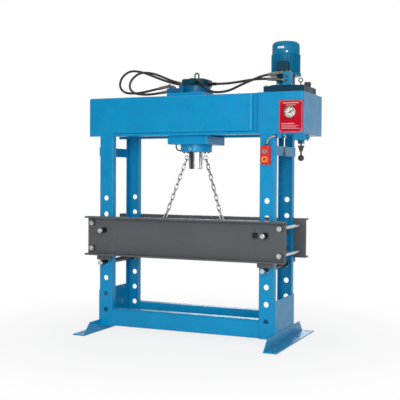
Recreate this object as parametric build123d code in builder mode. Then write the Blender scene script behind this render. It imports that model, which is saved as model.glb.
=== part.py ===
from build123d import *
import math
import os

# Hydraulic workshop press: a bolted-down four-post frame, a height-adjustable table on pins, a cylinder
# on a sliding carriage, and a power pack on the right end. Millimetres, +Z up, X along the frame,
# -Y is the front. The origin is on the floor, midway between the posts and midway front to back.

os.makedirs("parts", exist_ok=True)

# Driving dimensions of the frame
hole_pitch = 130.0
hole_count = 8
lowest_hole_z = 184.0
hole_radius = 21.0
post_spacing = 1378.0
post_width = 120.0
post_flange = 55.0
post_wall = 8.0
frame_depth = 504.0
frame_bottom = 52.0
base_beam_height = 142.0
crosshead_bottom = 1594.0
crosshead_height = 312.0
crosshead_overhang = 96.0
crosshead_end_gap = 59.0
beam_depth = 80.0
beam_wall = 10.0
beam_bend = 20.0
neck_recess = 22.0
rail_height = 20.0
rail_width = 70.0
plate_wall = 8.0

# Feet and side plates
foot_height = 95.0
foot_width = 105.0
foot_wall = 10.0
foot_length = 980.0
foot_mitre = 99.0
anchor_reach = 65.0
anchor_inset = 70.0
anchor_radius = 11.0
side_plate_height = 245.0
strap_drop = 87.0
strap_height = 73.0

# Table and its pins
table_overhang = 96.0
table_height = 315.0
table_flange = 75.0
table_web = 10.0
table_flange_wall = 14.0
table_gap = 1.5
pad_lap = 19.0
pad_wall = 8.0
saddle_height = 36.7
saddle_depth = 40.0
pin_seat_gap = 0.3
support_pin_radius = 19.0
support_pin_stand = 104.0
support_hole_index = 3
lock_hole_index = 5
lock_pin_radius = 14.0
lock_pin_fit = 0.05
lock_pin_recess = 2.5
lock_pin_stand = 87.0
lock_head_radius = 19.0
lock_head_length = 26.0
lock_bush_radius = 25.0
lock_bush_length = 11.0
tie_rod_inset = 44.0
tie_rod_spacing_z = 203.0
tie_rod_radius = 12.0
tie_rod_stub = 12.0
tie_hole_gap = 0.6
nut_across_flats = 38.0
nut_height = 20.0
washer_radius = 25.0
washer_height = 4.0
chain_bar_x = 275.0
chain_bar_drop = 83.0
chain_bar_radius = 10.0
chain_hook_y = -68.0

# Cylinder, ram and carriage
cylinder_radius = 115.0
cylinder_bore = 90.0
cylinder_rise = 89.0
gland_radius = 128.0
gland_drop = 66.0
gland_height = 58.0
ram_radius = 60.0
ram_reach = 136.0
ram_groove_lift = 66.0
ram_groove = 2.0
ram_chamfer = 6.0
piston_drop = 115.0
piston_height = 70.0
ram_fit = 0.05
carriage_width = 342.0
carriage_depth = 374.0
carriage_gap = 2.0
carriage_edge = 6.0
bore_gap = 0.5
slide_gap = 1.0
top_plate_left = -165.0
top_plate_right = 150.0
top_plate_depth = 430.0
top_plate_height = 24.0
top_plate_tab_margin = 8.0
collar_radius = 134.0
collar_height = 18.0
head_width = 204.0
head_height = 57.0
head_corner = 44.0
head_edge = 8.0
bracket_wall = 14.0
bracket_width = 90.0
port_boss_width = 46.0
port_boss_height = 38.0
port_boss_reach = 48.0
eye_ring_radius = 16.5
eye_wire_radius = 6.0
eye_stretch = 29.5
block_left = -210.0
block_right = -78.0
block_front = -120.0
block_rear = -40.0
block_height = 47.0
block_lug_left = -84.0
block_lug_right = -48.0
block_lug_front = -160.0
block_lug_rear = -112.0
block_lug_height = 61.0
nub_radius = 8.0
nub_height = 14.0
nub_shares = (1 / 4, 1 / 2)
chain_eye_x = 83.0
chain_eye_lift = 89.0
chain_eye_radius = 17.5
chain_eye_wire = 4.5
eye_stud_radius = 6.0
eye_stud_depth = 14.0
chain_wire = 5.0
chain_half_width = 12.0
chain_links = 13
chain_slack = 0.2
shackle_radius = 22.0

# Oil tank, lid and power pack; places along X start at the tank's left end or at the motor's axis
tank_lap = 21.0
tank_length = 359.0
tank_depth = 526.0
tank_wall = 5.0
tank_corner = 16.0
tank_mouth = 250.0
lid_inset = 15.0
lid_length = 320.0
lid_depth = 324.0
lid_height = 56.0
lid_wall = 12.0
lid_edge = 4.0
motor_inset = 121.0
motor_y = 10.0
bell_height = 88.0
bell_radius = 72.0
bell_wall = 10.0
bell_flange_radius = 124.0
bell_flange_height = 14.0
bell_window_width = 60.0
bell_window_height = 40.0
motor_flange_radius = 118.0
motor_flange_height = 20.0
motor_core_radius = 100.0
motor_fin_radius = 112.0
motor_fin_count = 28
motor_fin_wall = 4.0
motor_inner_radius = 84.0
motor_body_height = 162.0
motor_end_wall = 12.0
shaft_radius = 14.0
shaft_fit = 0.05
shaft_drop = 7.0
rotor_radius = 78.0
rotor_gap = 12.0
fan_cover_radius = 106.0
fan_cover_height = 100.0
fan_cover_wall = 3.0
fan_cover_edge = 34.0
fan_radius = 90.0
fan_hub_radius = 30.0
fan_lift = 20.0
fan_height = 40.0
fan_blade_wall = 5.0
fan_blade_count = 8
grille_slot_width = 7.0
grille_slot_length = 34.0
grille_slot_count = 12
grille_ring_radius = 58.0
coupling_radius = 34.0
coupling_height = 44.0
pump_radius = 48.0
pump_length = 150.0
pump_foot_radius = 30.0
pump_foot_height = 26.0
terminal_width = 82.0
terminal_reach_x = 18.0
terminal_reach_y = 168.0
terminal_lift = 22.0
terminal_height = 76.0
terminal_edge = 6.0
terminal_gap = 0.3
terminal_gland_radius = 9.0
terminal_gland_length = 12.0
manifold_reach = 42.0
manifold_width = 56.0
manifold_front = -190.0
manifold_rear = -122.0
manifold_height = 99.0
manifold_edge = 4.0
manifold_plug_radius = 13.0
manifold_plug_length = 8.0
manifold_plug_shares = (1 / 3, 2 / 3)
ferrule_radius = 13.0
hex_across_flats = 30.0
hex_length = 16.0
filler_reach = 181.0
filler_y = -10.0
filler_radius = 23.0
filler_height = 34.0
filler_rib_count = 12
filler_rib_radius = 3.0
filler_gap = 0.3
lid_eye_reach = 141.0
lid_eye_y = -60.0
lid_eye_radius = 15.0
lid_eye_wire = 4.0
lid_eye_lift = 46.0

# Gauge panel, placed from the tank's lower left corner
panel_inset = 174.0
panel_lift = 8.0
panel_width = 182.0
panel_height = 241.0
panel_wall = 4.0
panel_corner = 5.0
gauge_inset = 90.0
gauge_lift = 150.0
gauge_radius = 43.0
gauge_depth = 28.0
gauge_rim = 8.0
gauge_floor = 8.0
lens_step = 2.0
lens_wall = 3.0
lens_gap = 0.2
lens_recess = 3.0
needle_hub = 5.0
needle_length = 27.0
needle_tail = 11.0
needle_width = 4.0
needle_wall = 1.5
needle_lift = 4.0
needle_pin_radius = 2.0
needle_pin_depth = 5.0
needle_angle = 40.0

# Switch box on the right front post
box_shift = -4.0
box_width = 70.0
box_drop = 87.0
box_height = 134.0
box_depth = 50.0
box_wall = 3.0
box_corner = 5.0
box_plate_margin = 8.0
box_plate_wall = 4.0
button_radius = 13.0
button_gap = 0.4
button_stand = 8.0
button_inside = 16.0
button_edge = 2.0
start_button_drop = 44.0
stop_button_drop = 103.0
conduit_radius = 8.0
junction_length = 28.0
junction_depth = 24.0
junction_drop = 30.0

# Control valve and levers, placed from the tank's left end
valve_inset = 280.0
valve_length = 96.0
valve_front = -250.0
valve_rear = -160.0
valve_height = 44.0
valve_edge = 6.0
valve_cap_radius = 17.0
valve_cap_length = 14.0
ear_wall = 7.0
ear_gap = 28.0
ear_width = 34.0
ear_drop = 30.0
lever_y = -205.0
lever_boss_radius = 13.0
lever_pin_radius = 5.0
lever_pin_fit = 0.05
lever_side_gap = 0.5
lever_rod_radius = 7.0
lever_drop = 120.0
boot_top_radius = 25.0
boot_bottom_radius = 11.0
boot_top_drop = 28.0
boot_bottom_drop = 72.0
boot_folds = 4
knob_radius = 23.0
lug_inset = 217.0
lug_width = 26.0
lug_wall = 8.0
lug_setback = 5.0
lug_drop = 36.0
release_boss_radius = 11.0
release_boss_wall = 8.0
release_pin_radius = 4.0
release_rod_radius = 4.5
release_drop = 112.0
release_grip_radius = 9.0
release_grip_length = 34.0
release_pivot_drop = 22.0

# Places worked out from the driving dimensions
front = -frame_depth / 2
rear = frame_depth / 2
post_x = post_spacing / 2
post_inner = post_x - post_width / 2
post_outer = post_x + post_width / 2
base_top = frame_bottom + base_beam_height
crosshead_top = crosshead_bottom + crosshead_height
crosshead_left = -post_outer - crosshead_overhang
panel_right = post_inner - crosshead_end_gap
beam_bottom = crosshead_bottom + rail_height
foot_ridge_length = foot_length - 2 * foot_mitre
anchor_spacing_y = foot_length - 2 * anchor_inset
side_plate_top = foot_height + side_plate_height
strap_top = crosshead_bottom - strap_drop
strap_bottom = strap_top - strap_height
support_pin_z = lowest_hole_z + support_hole_index * hole_pitch
support_pin_length = frame_depth + 2 * support_pin_stand
lock_pin_z = lowest_hole_z + lock_hole_index * hole_pitch
table_length = 2 * (post_outer + table_overhang)
table_bottom = support_pin_z + support_pin_radius + pin_seat_gap + saddle_height
table_top = table_bottom + table_height
web_inner = frame_depth / 2 + table_gap
web_outer = web_inner + table_web
flange_tip = web_inner + table_flange
pad_face = web_outer + pad_wall
lock_pin_tip = web_inner + lock_pin_recess
lock_pin_end = pad_face + lock_pin_stand
tie_rod_x = table_length / 2 - tie_rod_inset
tie_middle_z = (table_bottom + table_top) / 2
chain_bar_z = table_top - chain_bar_drop
gland_top = crosshead_bottom - gland_drop
gland_bottom = gland_top - gland_height
ram_bottom = gland_bottom - ram_reach
ram_groove_z = ram_bottom + ram_groove_lift
chain_eye_z = ram_bottom + chain_eye_lift
carriage_top = crosshead_bottom - carriage_gap
cylinder_top = crosshead_top + cylinder_rise
piston_bottom = cylinder_top - piston_drop
plate_bottom = crosshead_top + slide_gap
plate_top = plate_bottom + top_plate_height
head_top = cylinder_top + head_height
tank_left = post_inner - tank_lap
tank_right = tank_left + tank_length
tank_front = -tank_depth / 2
tank_rear = tank_depth / 2
lid_left = tank_left + lid_inset
lid_right = lid_left + lid_length
lid_top = crosshead_top + lid_height
motor_x = lid_left + motor_inset
bell_top = lid_top + bell_height
motor_bottom = bell_top
motor_body_top = motor_bottom + motor_body_height
fan_cover_top = motor_body_top + fan_cover_height
fan_bottom = motor_body_top + fan_lift
shaft_bottom = lid_top - shaft_drop
pump_bottom = lid_top - lid_wall - pump_length
terminal_x = motor_x + terminal_reach_x
terminal_front = motor_y - terminal_reach_y
terminal_bottom = motor_bottom + terminal_lift
terminal_top = terminal_bottom + terminal_height
manifold_left = motor_x + manifold_reach
manifold_right = manifold_left + manifold_width
manifold_top = lid_top + manifold_height
filler_x = motor_x + filler_reach
lid_eye_x = motor_x + lid_eye_reach
panel_left = tank_left + panel_inset
panel_side = panel_left + panel_width
panel_bottom = crosshead_bottom + panel_lift
panel_top = panel_bottom + panel_height
gauge_x = panel_left + gauge_inset
gauge_z = panel_bottom + gauge_lift
gauge_back = tank_front - panel_wall
gauge_face = gauge_back - gauge_depth
dial_face = gauge_back - gauge_floor
box_x = post_x + box_shift
box_top = crosshead_bottom - box_drop
box_bottom = box_top - box_height
box_face = front - box_depth
start_button_z = box_top - start_button_drop
stop_button_z = box_top - stop_button_drop
valve_left = tank_left + valve_inset
valve_right = valve_left + valve_length
valve_bottom = crosshead_bottom - valve_height
lever_x = (valve_left + valve_right) / 2
lever_pivot_z = valve_bottom - ear_drop / 2
lug_x = tank_left + lug_inset
lug_front = tank_front + lug_setback
release_pivot_z = crosshead_bottom - release_pivot_drop


def from_place(place, steps):
    """A route given as steps from one place."""
    return [tuple(a + b for a, b in zip(place, step)) for step in steps]


# Hose routes: points along each centre line, from the middle of the crosshead's top
hose_radius = 9.5
bend_share = 0.45
crosshead_middle = (0, 0, crosshead_top)
supply_front_route = from_place(crosshead_middle, [
    (690, -165, 144), (621, -161, 138), (533, -150, 110), (434, -134, 78), (338, -129, 37),
    (262, -131, 26), (196, -134, 28), (140, -134, 58), (92, -128, 96),
])
supply_rear_route = from_place(crosshead_middle, [
    (674, -140, 110), (592, -128, 118), (490, -106, 114), (374, -80, 104), (256, -54, 99), (158, -36, 104),
])
loop_inner_route = from_place(crosshead_middle, [
    (-144, 12, 124), (-228, 12, 147), (-318, 12, 186), (-410, 12, 220), (-518, 10, 230),
    (-582, -23, 175), (-582, -71, 98), (-518, -104, 44), (-428, -107, 31), (-334, -97, 33), (-244, -84, 48),
])
loop_outer_route = from_place(crosshead_middle, [
    (-144, 44, 114), (-236, 43, 132), (-336, 42, 166), (-434, 42, 205), (-530, 42, 240),
    (-636, 42, 252), (-699, 15, 195), (-699, -23, 115), (-636, -50, 58), (-548, -52, 49),
    (-462, -54, 55), (-374, -56, 70), (-286, -56, 86),
])

# Pipe from the carriage to the gland, and conduit from the switch box to the tank
return_pipe_radius = 5.5
return_pipe_route = from_place((0, 0, gland_top),
                               [(-152, -60, 0), (-152, -60, -25), (-137, -60, -44), (-110, -60, -47)])
conduit_route = from_place((box_x, front, box_top), [
    (12, -32, 0), (12, -32, 27), (25, -20, 55), (53, -10, 69), (87, -10, 69),
])


def span_box(x, y, z, mode=Mode.ADD):
    """A box between two values on each axis."""
    with Locations(((x[0] + x[1]) / 2, (y[0] + y[1]) / 2, (z[0] + z[1]) / 2)):
        Box(abs(x[1] - x[0]), abs(y[1] - y[0]), abs(z[1] - z[0]), mode=mode)


def round_bar(start, direction, radius, length, mode=Mode.ADD):
    """A cylinder that starts at a point and runs along a direction."""
    with Locations(Plane(origin=start, z_dir=direction)):
        Cylinder(radius, length, align=(Align.CENTER, Align.CENTER, Align.MIN), mode=mode)


def hex_bar(start, direction, across_flats, length):
    """A hexagonal bar that starts at a point and runs along a direction."""
    with BuildSketch(Plane(origin=start, z_dir=direction)) as section:
        RegularPolygon(across_flats / 2, side_count=6, major_radius=False)
    extrude(section.sketch, amount=length)


def ring(middle, normal, radius, wire):
    """A round wire ring about a normal."""
    with Locations(Plane(origin=middle, z_dir=normal)):
        Torus(radius, wire)


def save(builder, name):
    """Labels a finished piece and writes it as one file."""
    builder.part.label = name
    export_step(builder.part, f"parts/{name}.step")


def bend_radii(route):
    """The bend at each corner of a route, as wide as its two runs allow."""
    radii = []
    for before, corner, after in zip(route, route[1:], route[2:]):
        run_in = Vector(*corner) - Vector(*before)
        run_out = Vector(*after) - Vector(*corner)
        half_turn = math.radians(run_in.get_angle(run_out)) / 2
        radii.append(bend_share * min(run_in.length, run_out.length) / math.tan(half_turn))
    return radii


def make_tube(name, route, radius):
    """A hose or pipe along straight runs joined by tangent arcs."""
    radii = bend_radii(route)
    with BuildPart() as tube:
        with BuildLine() as path:
            FilletPolyline(*route, radius=radii)
        with BuildSketch(path.line ^ 0):
            Circle(radius)
        sweep()
    length = path.wire().length
    section_share = tube.part.volume / (math.pi * radius**2 * length)
    print(name, "length", round(length), "volume share", round(section_share, 4))
    print("  bends in diameters", [round(r / (2 * radius), 1) for r in radii])
    save(tube, name)


# Posts: channels with their webs outward and a column of pin holes
def make_post(name, side_x, side_y):
    outer_y = side_y * frame_depth / 2
    inner_y = outer_y - side_y * post_flange
    middle = side_x * post_x
    with BuildPart() as post:
        span_box((middle - post_width / 2, middle + post_width / 2), (outer_y, inner_y),
                 (frame_bottom, crosshead_bottom))
        outer_edges = post.edges().filter_by(Axis.Z).group_by(Axis.Y)[-1 if side_y > 0 else 0]
        fillet(outer_edges, post_wall)
        span_box((middle - post_width / 2 + post_wall, middle + post_width / 2 - post_wall),
                 (outer_y - side_y * post_wall, inner_y), (frame_bottom, crosshead_bottom), Mode.SUBTRACT)
        for index in range(hole_count):
            height = lowest_hole_z + index * hole_pitch
            round_bar((middle, outer_y, height), (0, -side_y, 0), hole_radius, post_flange, Mode.SUBTRACT)
    save(post, name)


make_post("post_front_left", -1, -1)
make_post("post_front_right", 1, -1)
make_post("post_rear_left", -1, 1)
make_post("post_rear_right", 1, 1)


# Feet: angle bars along Y with slanted ends and anchor holes
def make_foot(name, side_x):
    inner = side_x * post_outer
    with BuildPart() as foot:
        span_box((inner, inner + side_x * foot_width), (-foot_length / 2, foot_length / 2), (0, foot_wall))
        with BuildSketch(Plane.YZ.offset(inner + min(side_x, 0) * foot_wall)):
            with BuildLine():
                Polyline((-foot_length / 2, 0), (foot_length / 2, 0), (foot_ridge_length / 2, foot_height),
                         (-foot_ridge_length / 2, foot_height), close=True)
            make_face()
        extrude(amount=foot_wall)
        for side_y in (-1, 1):
            anchor = (inner + side_x * anchor_reach, side_y * anchor_spacing_y / 2, 0)
            round_bar(anchor, (0, 0, 1), anchor_radius, foot_wall, Mode.SUBTRACT)
    save(foot, name)


make_foot("foot_left", -1)
make_foot("foot_right", 1)


# Base beams: folded pans between the posts, open at the back
def make_base_beam(name, side_y):
    outer_y = side_y * frame_depth / 2
    inner_y = outer_y - side_y * beam_depth
    web_y = min(outer_y, inner_y)
    with BuildPart() as beam:
        span_box((-post_inner, post_inner), (web_y, web_y + beam_depth), (frame_bottom, base_top))
        fillet(beam.edges().filter_by(Axis.X).group_by(Axis.Y)[0], beam_bend)
        span_box((-post_inner, post_inner), (web_y + beam_wall, web_y + beam_depth),
                 (frame_bottom + beam_wall, base_top - beam_wall), Mode.SUBTRACT)
    save(beam, name)


make_base_beam("base_beam_front", -1)
make_base_beam("base_beam_rear", 1)


# Side plates and straps: flat plates across the outsides of the posts
def make_side_plates(name, bottom, top):
    with BuildPart() as plates:
        for side_x in (-1, 1):
            span_box((side_x * post_outer, side_x * (post_outer + plate_wall)),
                     (front + post_wall, rear - post_wall), (bottom, top))
    save(plates, name)


make_side_plates("lower_side_plates", foot_height, side_plate_top)
make_side_plates("upper_straps", strap_bottom, strap_top)


# Crosshead beams: folded pans with a rounded right end, a skirt over the left post and a recessed neck
def make_crosshead_beam(name, side_y):
    outer_y = side_y * frame_depth / 2
    inner_y = outer_y - side_y * beam_depth
    with BuildPart() as beam:
        span_box((crosshead_left, panel_right), (outer_y, inner_y), (beam_bottom, crosshead_top))
        outer_group = -1 if side_y > 0 else 0
        bends = beam.edges().filter_by(Axis.X).group_by(Axis.Y)[outer_group]
        right_bend = beam.edges().filter_by(Axis.Z).group_by(Axis.Y)[outer_group].sort_by(Axis.X)[-1]
        fillet([*bends, right_bend], beam_bend)
        span_box((crosshead_left + beam_wall, panel_right - beam_wall),
                 (outer_y - side_y * beam_wall, inner_y),
                 (beam_bottom + beam_wall, crosshead_top - beam_wall), Mode.SUBTRACT)
        span_box((crosshead_left, -post_inner), (outer_y, outer_y - side_y * beam_wall),
                 (crosshead_bottom, beam_bottom + beam_bend))
        span_box((panel_right - beam_wall, tank_left), (outer_y - side_y * neck_recess, inner_y),
                 (beam_bottom, crosshead_top))
    save(beam, name)


make_crosshead_beam("crosshead_beam_front", -1)
make_crosshead_beam("crosshead_beam_rear", 1)

# Rails: flat bars under the crosshead beams that guide the carriage
with BuildPart() as carriage_rails:
    for side_y in (-1, 1):
        rail_outer = side_y * (frame_depth / 2 - beam_wall / 2)
        span_box((-post_inner, tank_left), (rail_outer, rail_outer - side_y * rail_width),
                 (crosshead_bottom, beam_bottom))
save(carriage_rails, "carriage_rails")

# Oil tank: a welded box with a pump mouth on top, and a lever lug and a conduit junction underneath
with BuildPart() as oil_tank:
    span_box((tank_left, tank_right), (tank_front, tank_rear), (crosshead_bottom, crosshead_top))
    fillet(oil_tank.edges().filter_by(Axis.Z), tank_corner)
    span_box((tank_left + tank_wall, tank_right - tank_wall),
             (tank_front + tank_wall, tank_rear - tank_wall),
             (crosshead_bottom + tank_wall, crosshead_top - tank_wall), Mode.SUBTRACT)
    span_box((motor_x - pump_radius * 2, motor_x + pump_radius * 2), (-tank_mouth / 2, tank_mouth / 2),
             (crosshead_top - tank_wall, crosshead_top), Mode.SUBTRACT)
    span_box((lug_x - lug_width / 2, lug_x + lug_width / 2), (lug_front, lug_front + lug_wall),
             (crosshead_bottom - lug_drop, crosshead_bottom))
    round_bar((lug_x, lug_front, release_pivot_z), (0, 1, 0), release_pin_radius + lever_pin_fit, lug_wall,
              Mode.SUBTRACT)
    conduit_end = conduit_route[-1]
    span_box((conduit_end[0], conduit_end[0] + junction_length),
             (min(conduit_end[1], tank_front) - junction_depth / 2,
              max(conduit_end[1], tank_front) + junction_depth / 2),
             (crosshead_bottom - junction_drop, crosshead_bottom))
save(oil_tank, "oil_tank")

# Tank lid: a raised cover with a shaft hole and a lifting eye
with BuildPart() as tank_lid:
    span_box((lid_left, lid_right), (-lid_depth / 2, lid_depth / 2), (crosshead_top, lid_top))
    fillet(tank_lid.faces().sort_by(Axis.Z)[-1].edges(), lid_edge)
    span_box((lid_left + lid_wall, lid_right - lid_wall),
             (-lid_depth / 2 + lid_wall, lid_depth / 2 - lid_wall),
             (crosshead_top, lid_top - lid_wall), Mode.SUBTRACT)
    round_bar((motor_x, motor_y, lid_top - lid_wall), (0, 0, 1), shaft_radius * 2, lid_wall, Mode.SUBTRACT)
    round_bar((lid_eye_x, lid_eye_y, lid_top), (0, 0, 1), lid_eye_wire, lid_eye_lift - lid_eye_radius)
    ring((lid_eye_x, lid_eye_y, lid_top + lid_eye_lift), (0, 1, 0), lid_eye_radius, lid_eye_wire)
save(tank_lid, "tank_lid")

# Bell housing: carries the motor above the lid, with windows to the coupling
with BuildPart() as bell_housing:
    round_bar((motor_x, motor_y, lid_top), (0, 0, 1), bell_flange_radius, bell_flange_height)
    round_bar((motor_x, motor_y, lid_top), (0, 0, 1), bell_radius, bell_height)
    round_bar((motor_x, motor_y, lid_top), (0, 0, 1), bell_radius - bell_wall, bell_height, Mode.SUBTRACT)
    span_box((motor_x - bell_window_width / 2, motor_x + bell_window_width / 2),
             (motor_y - bell_radius, motor_y + bell_radius),
             (bell_top - bell_window_height - bell_wall, bell_top - bell_wall), Mode.SUBTRACT)
save(bell_housing, "bell_housing")

# Motor: a finned housing on a flange, with end walls that carry the shaft
with BuildPart() as motor_body:
    round_bar((motor_x, motor_y, motor_bottom), (0, 0, 1), motor_flange_radius, motor_flange_height)
    round_bar((motor_x, motor_y, motor_bottom), (0, 0, 1), motor_core_radius, motor_body_top - motor_bottom)
    with BuildSketch(Plane.XY.offset(motor_bottom)):
        with Locations((motor_x, motor_y)):
            with PolarLocations(motor_core_radius, motor_fin_count):
                Rectangle(2 * (motor_fin_radius - motor_core_radius), motor_fin_wall)
    extrude(amount=motor_body_top - motor_bottom)
    round_bar((motor_x, motor_y, motor_bottom + motor_end_wall), (0, 0, 1), motor_inner_radius,
              motor_body_top - motor_bottom - 2 * motor_end_wall, Mode.SUBTRACT)
    round_bar((motor_x, motor_y, motor_bottom), (0, 0, 1), shaft_radius + shaft_fit,
              motor_body_top - motor_bottom, Mode.SUBTRACT)
save(motor_body, "motor_body")

# Fan cover: a slotted cap over the fan
with BuildPart() as motor_fan_cover:
    cover_height = fan_cover_top - motor_body_top
    round_bar((motor_x, motor_y, motor_body_top), (0, 0, 1), fan_cover_radius, cover_height)
    fillet(motor_fan_cover.faces().sort_by(Axis.Z)[-1].edges(), fan_cover_edge)
    round_bar((motor_x, motor_y, motor_body_top), (0, 0, 1), fan_cover_radius - fan_cover_wall,
              cover_height - fan_cover_edge, Mode.SUBTRACT)
    round_bar((motor_x, motor_y, motor_body_top), (0, 0, 1), fan_cover_radius - fan_cover_edge,
              cover_height - fan_cover_wall, Mode.SUBTRACT)
    with BuildSketch(Plane.XY.offset(fan_cover_top - fan_cover_edge)):
        with Locations((motor_x, motor_y)):
            with PolarLocations(grille_ring_radius, grille_slot_count):
                SlotOverall(grille_slot_length, grille_slot_width)
    extrude(amount=fan_cover_edge, mode=Mode.SUBTRACT)
save(motor_fan_cover, "motor_fan_cover")

# Rotor: shaft with its rotor pack, coupling half and fan
with BuildPart() as motor_rotor:
    rotor_low = motor_bottom + motor_end_wall + rotor_gap
    rotor_high = motor_body_top - motor_end_wall - rotor_gap
    coupling_low = bell_top - rotor_gap - coupling_height
    round_bar((motor_x, motor_y, shaft_bottom), (0, 0, 1), shaft_radius,
              fan_bottom + fan_height - shaft_bottom)
    round_bar((motor_x, motor_y, rotor_low), (0, 0, 1), rotor_radius, rotor_high - rotor_low)
    round_bar((motor_x, motor_y, coupling_low), (0, 0, 1), coupling_radius, coupling_height)
    round_bar((motor_x, motor_y, fan_bottom), (0, 0, 1), fan_hub_radius, fan_height)
    round_bar((motor_x, motor_y, fan_bottom), (0, 0, 1), fan_radius, fan_blade_wall)
    with BuildSketch(Plane.XY.offset(fan_bottom)):
        with Locations((motor_x, motor_y)):
            blade_start = fan_hub_radius / 2
            blade_end = fan_radius - fan_blade_wall
            with PolarLocations((blade_start + blade_end) / 2, fan_blade_count):
                Rectangle(blade_end - blade_start, fan_blade_wall)
    extrude(amount=fan_height)
save(motor_rotor, "motor_rotor")

# Pump: a round gear pump that hangs under the lid with a suction foot
with BuildPart() as pump_body:
    round_bar((motor_x, motor_y, pump_bottom), (0, 0, 1), pump_radius, lid_top - lid_wall - pump_bottom)
    round_bar((motor_x, motor_y, pump_bottom - pump_foot_height), (0, 0, 1), pump_foot_radius,
              pump_foot_height)
    round_bar((motor_x, motor_y, shaft_bottom - pump_foot_height), (0, 0, 1), shaft_radius * 2,
              lid_top - shaft_bottom, Mode.SUBTRACT)
save(pump_body, "pump_body")

# Terminal box on the front of the motor, with a cable gland
with BuildPart() as terminal_box:
    span_box((terminal_x - terminal_width / 2, terminal_x + terminal_width / 2),
             (terminal_front, motor_y - motor_core_radius / 2), (terminal_bottom, terminal_top))
    fillet(terminal_box.faces().sort_by(Axis.Y)[0].edges(), terminal_edge)
    fin_corner_radius = math.hypot(motor_fin_radius, motor_fin_wall / 2) + terminal_gap
    round_bar((motor_x, motor_y, terminal_bottom), (0, 0, 1), fin_corner_radius,
              terminal_top - terminal_bottom,
              Mode.SUBTRACT)
    round_bar((terminal_x + terminal_width / 4, terminal_front, (terminal_bottom + terminal_top) / 2),
              (0, -1, 0), terminal_gland_radius, terminal_gland_length)
save(terminal_box, "terminal_box")

# Valve manifold on the lid, with two front plugs
with BuildPart() as valve_manifold:
    span_box((manifold_left, manifold_right), (manifold_front, manifold_rear), (lid_top, manifold_top))
    fillet(valve_manifold.edges().filter_by(Axis.Z), manifold_edge)
    for share in manifold_plug_shares:
        plug_z = lid_top + share * (manifold_top - lid_top)
        round_bar(((manifold_left + manifold_right) / 2, manifold_front, plug_z), (0, -1, 0),
                  manifold_plug_radius, manifold_plug_length)
save(valve_manifold, "valve_manifold")


# Hose fittings: a hexagon against the port face and a ferrule in line with the hose end
def fitting_root(port_x, hose_end, hose_next):
    inward = (Vector(*hose_end) - Vector(*hose_next)).normalized()
    ferrule_length = (abs(hose_end[0] - port_x) - hex_length / 2) / abs(inward.X)
    return Vector(*hose_end) + inward * ferrule_length


def hose_fitting(port_x, hose_end, hose_next):
    root = fitting_root(port_x, hose_end, hose_next)
    away = math.copysign(1, hose_end[0] - port_x)
    hex_bar((port_x, root.Y, root.Z), (away, 0, 0), hex_across_flats, hex_length)
    ferrule = root - Vector(*hose_end)
    round_bar(hose_end, ferrule.normalized(), ferrule_radius, ferrule.length)


with BuildPart() as manifold_fittings:
    hose_fitting(manifold_left, *supply_front_route[:2])
    hose_fitting(manifold_left, *supply_rear_route[:2])
save(manifold_fittings, "manifold_fittings")

# Filler cap: a ribbed screw cap on the lid
with BuildPart() as filler_cap:
    round_bar((filler_x, filler_y, lid_top + filler_gap), (0, 0, 1), filler_radius, filler_height)
    chamfer(filler_cap.faces().sort_by(Axis.Z)[-1].edges(), filler_rib_radius)
    with BuildSketch(Plane.XY.offset(lid_top + filler_gap)):
        with Locations((filler_x, filler_y)):
            with PolarLocations(filler_radius, filler_rib_count):
                Circle(filler_rib_radius)
    extrude(amount=filler_height - filler_rib_radius)
save(filler_cap, "filler_cap")

# Gauge panel: a thin plate on the tank's front
with BuildPart() as gauge_panel:
    span_box((panel_left, panel_side), (tank_front, gauge_back), (panel_bottom, panel_top))
    fillet(gauge_panel.edges().filter_by(Axis.Y), panel_corner)
save(gauge_panel, "gauge_panel")

# Gauge case: a cup with a seat for the lens and a hole for the needle pin
with BuildPart() as gauge_case:
    round_bar((gauge_x, gauge_back, gauge_z), (0, -1, 0), gauge_radius, gauge_depth)
    fillet(gauge_case.faces().sort_by(Axis.Y)[0].edges(), lens_recess)
    round_bar((gauge_x, dial_face, gauge_z), (0, -1, 0), gauge_radius - gauge_rim,
              gauge_depth - gauge_floor,
              Mode.SUBTRACT)
    round_bar((gauge_x, gauge_face + lens_wall + lens_recess, gauge_z), (0, -1, 0),
              gauge_radius - gauge_rim + lens_step, lens_wall + lens_recess, Mode.SUBTRACT)
    round_bar((gauge_x, dial_face, gauge_z), (0, 1, 0), needle_pin_radius + shaft_fit,
              needle_pin_depth + shaft_fit,
              Mode.SUBTRACT)
save(gauge_case, "gauge_case")

with BuildPart() as gauge_lens:
    round_bar((gauge_x, gauge_face + lens_wall + lens_recess, gauge_z), (0, -1, 0),
              gauge_radius - gauge_rim + lens_step - lens_gap, lens_wall)
save(gauge_lens, "gauge_lens")

# Gauge needle: a tapered pointer on a hub and pin
with BuildPart() as gauge_needle:
    needle_back = dial_face - needle_lift
    round_bar((gauge_x, dial_face + needle_pin_depth, gauge_z), (0, -1, 0), needle_pin_radius,
              needle_pin_depth + needle_lift)
    round_bar((gauge_x, needle_back, gauge_z), (0, -1, 0), needle_hub, 2 * needle_wall)
    pointing = (math.cos(math.radians(needle_angle)), 0, math.sin(math.radians(needle_angle)))
    with BuildSketch(Plane(origin=(gauge_x, needle_back, gauge_z), x_dir=pointing, z_dir=(0, -1, 0))):
        with BuildLine():
            Polyline((-needle_tail, -needle_width), (-needle_tail, needle_width),
                     (needle_length, needle_wall / 2),
                     (needle_length, -needle_wall / 2), close=True)
        make_face()
    extrude(amount=needle_wall)
save(gauge_needle, "gauge_needle")

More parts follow.
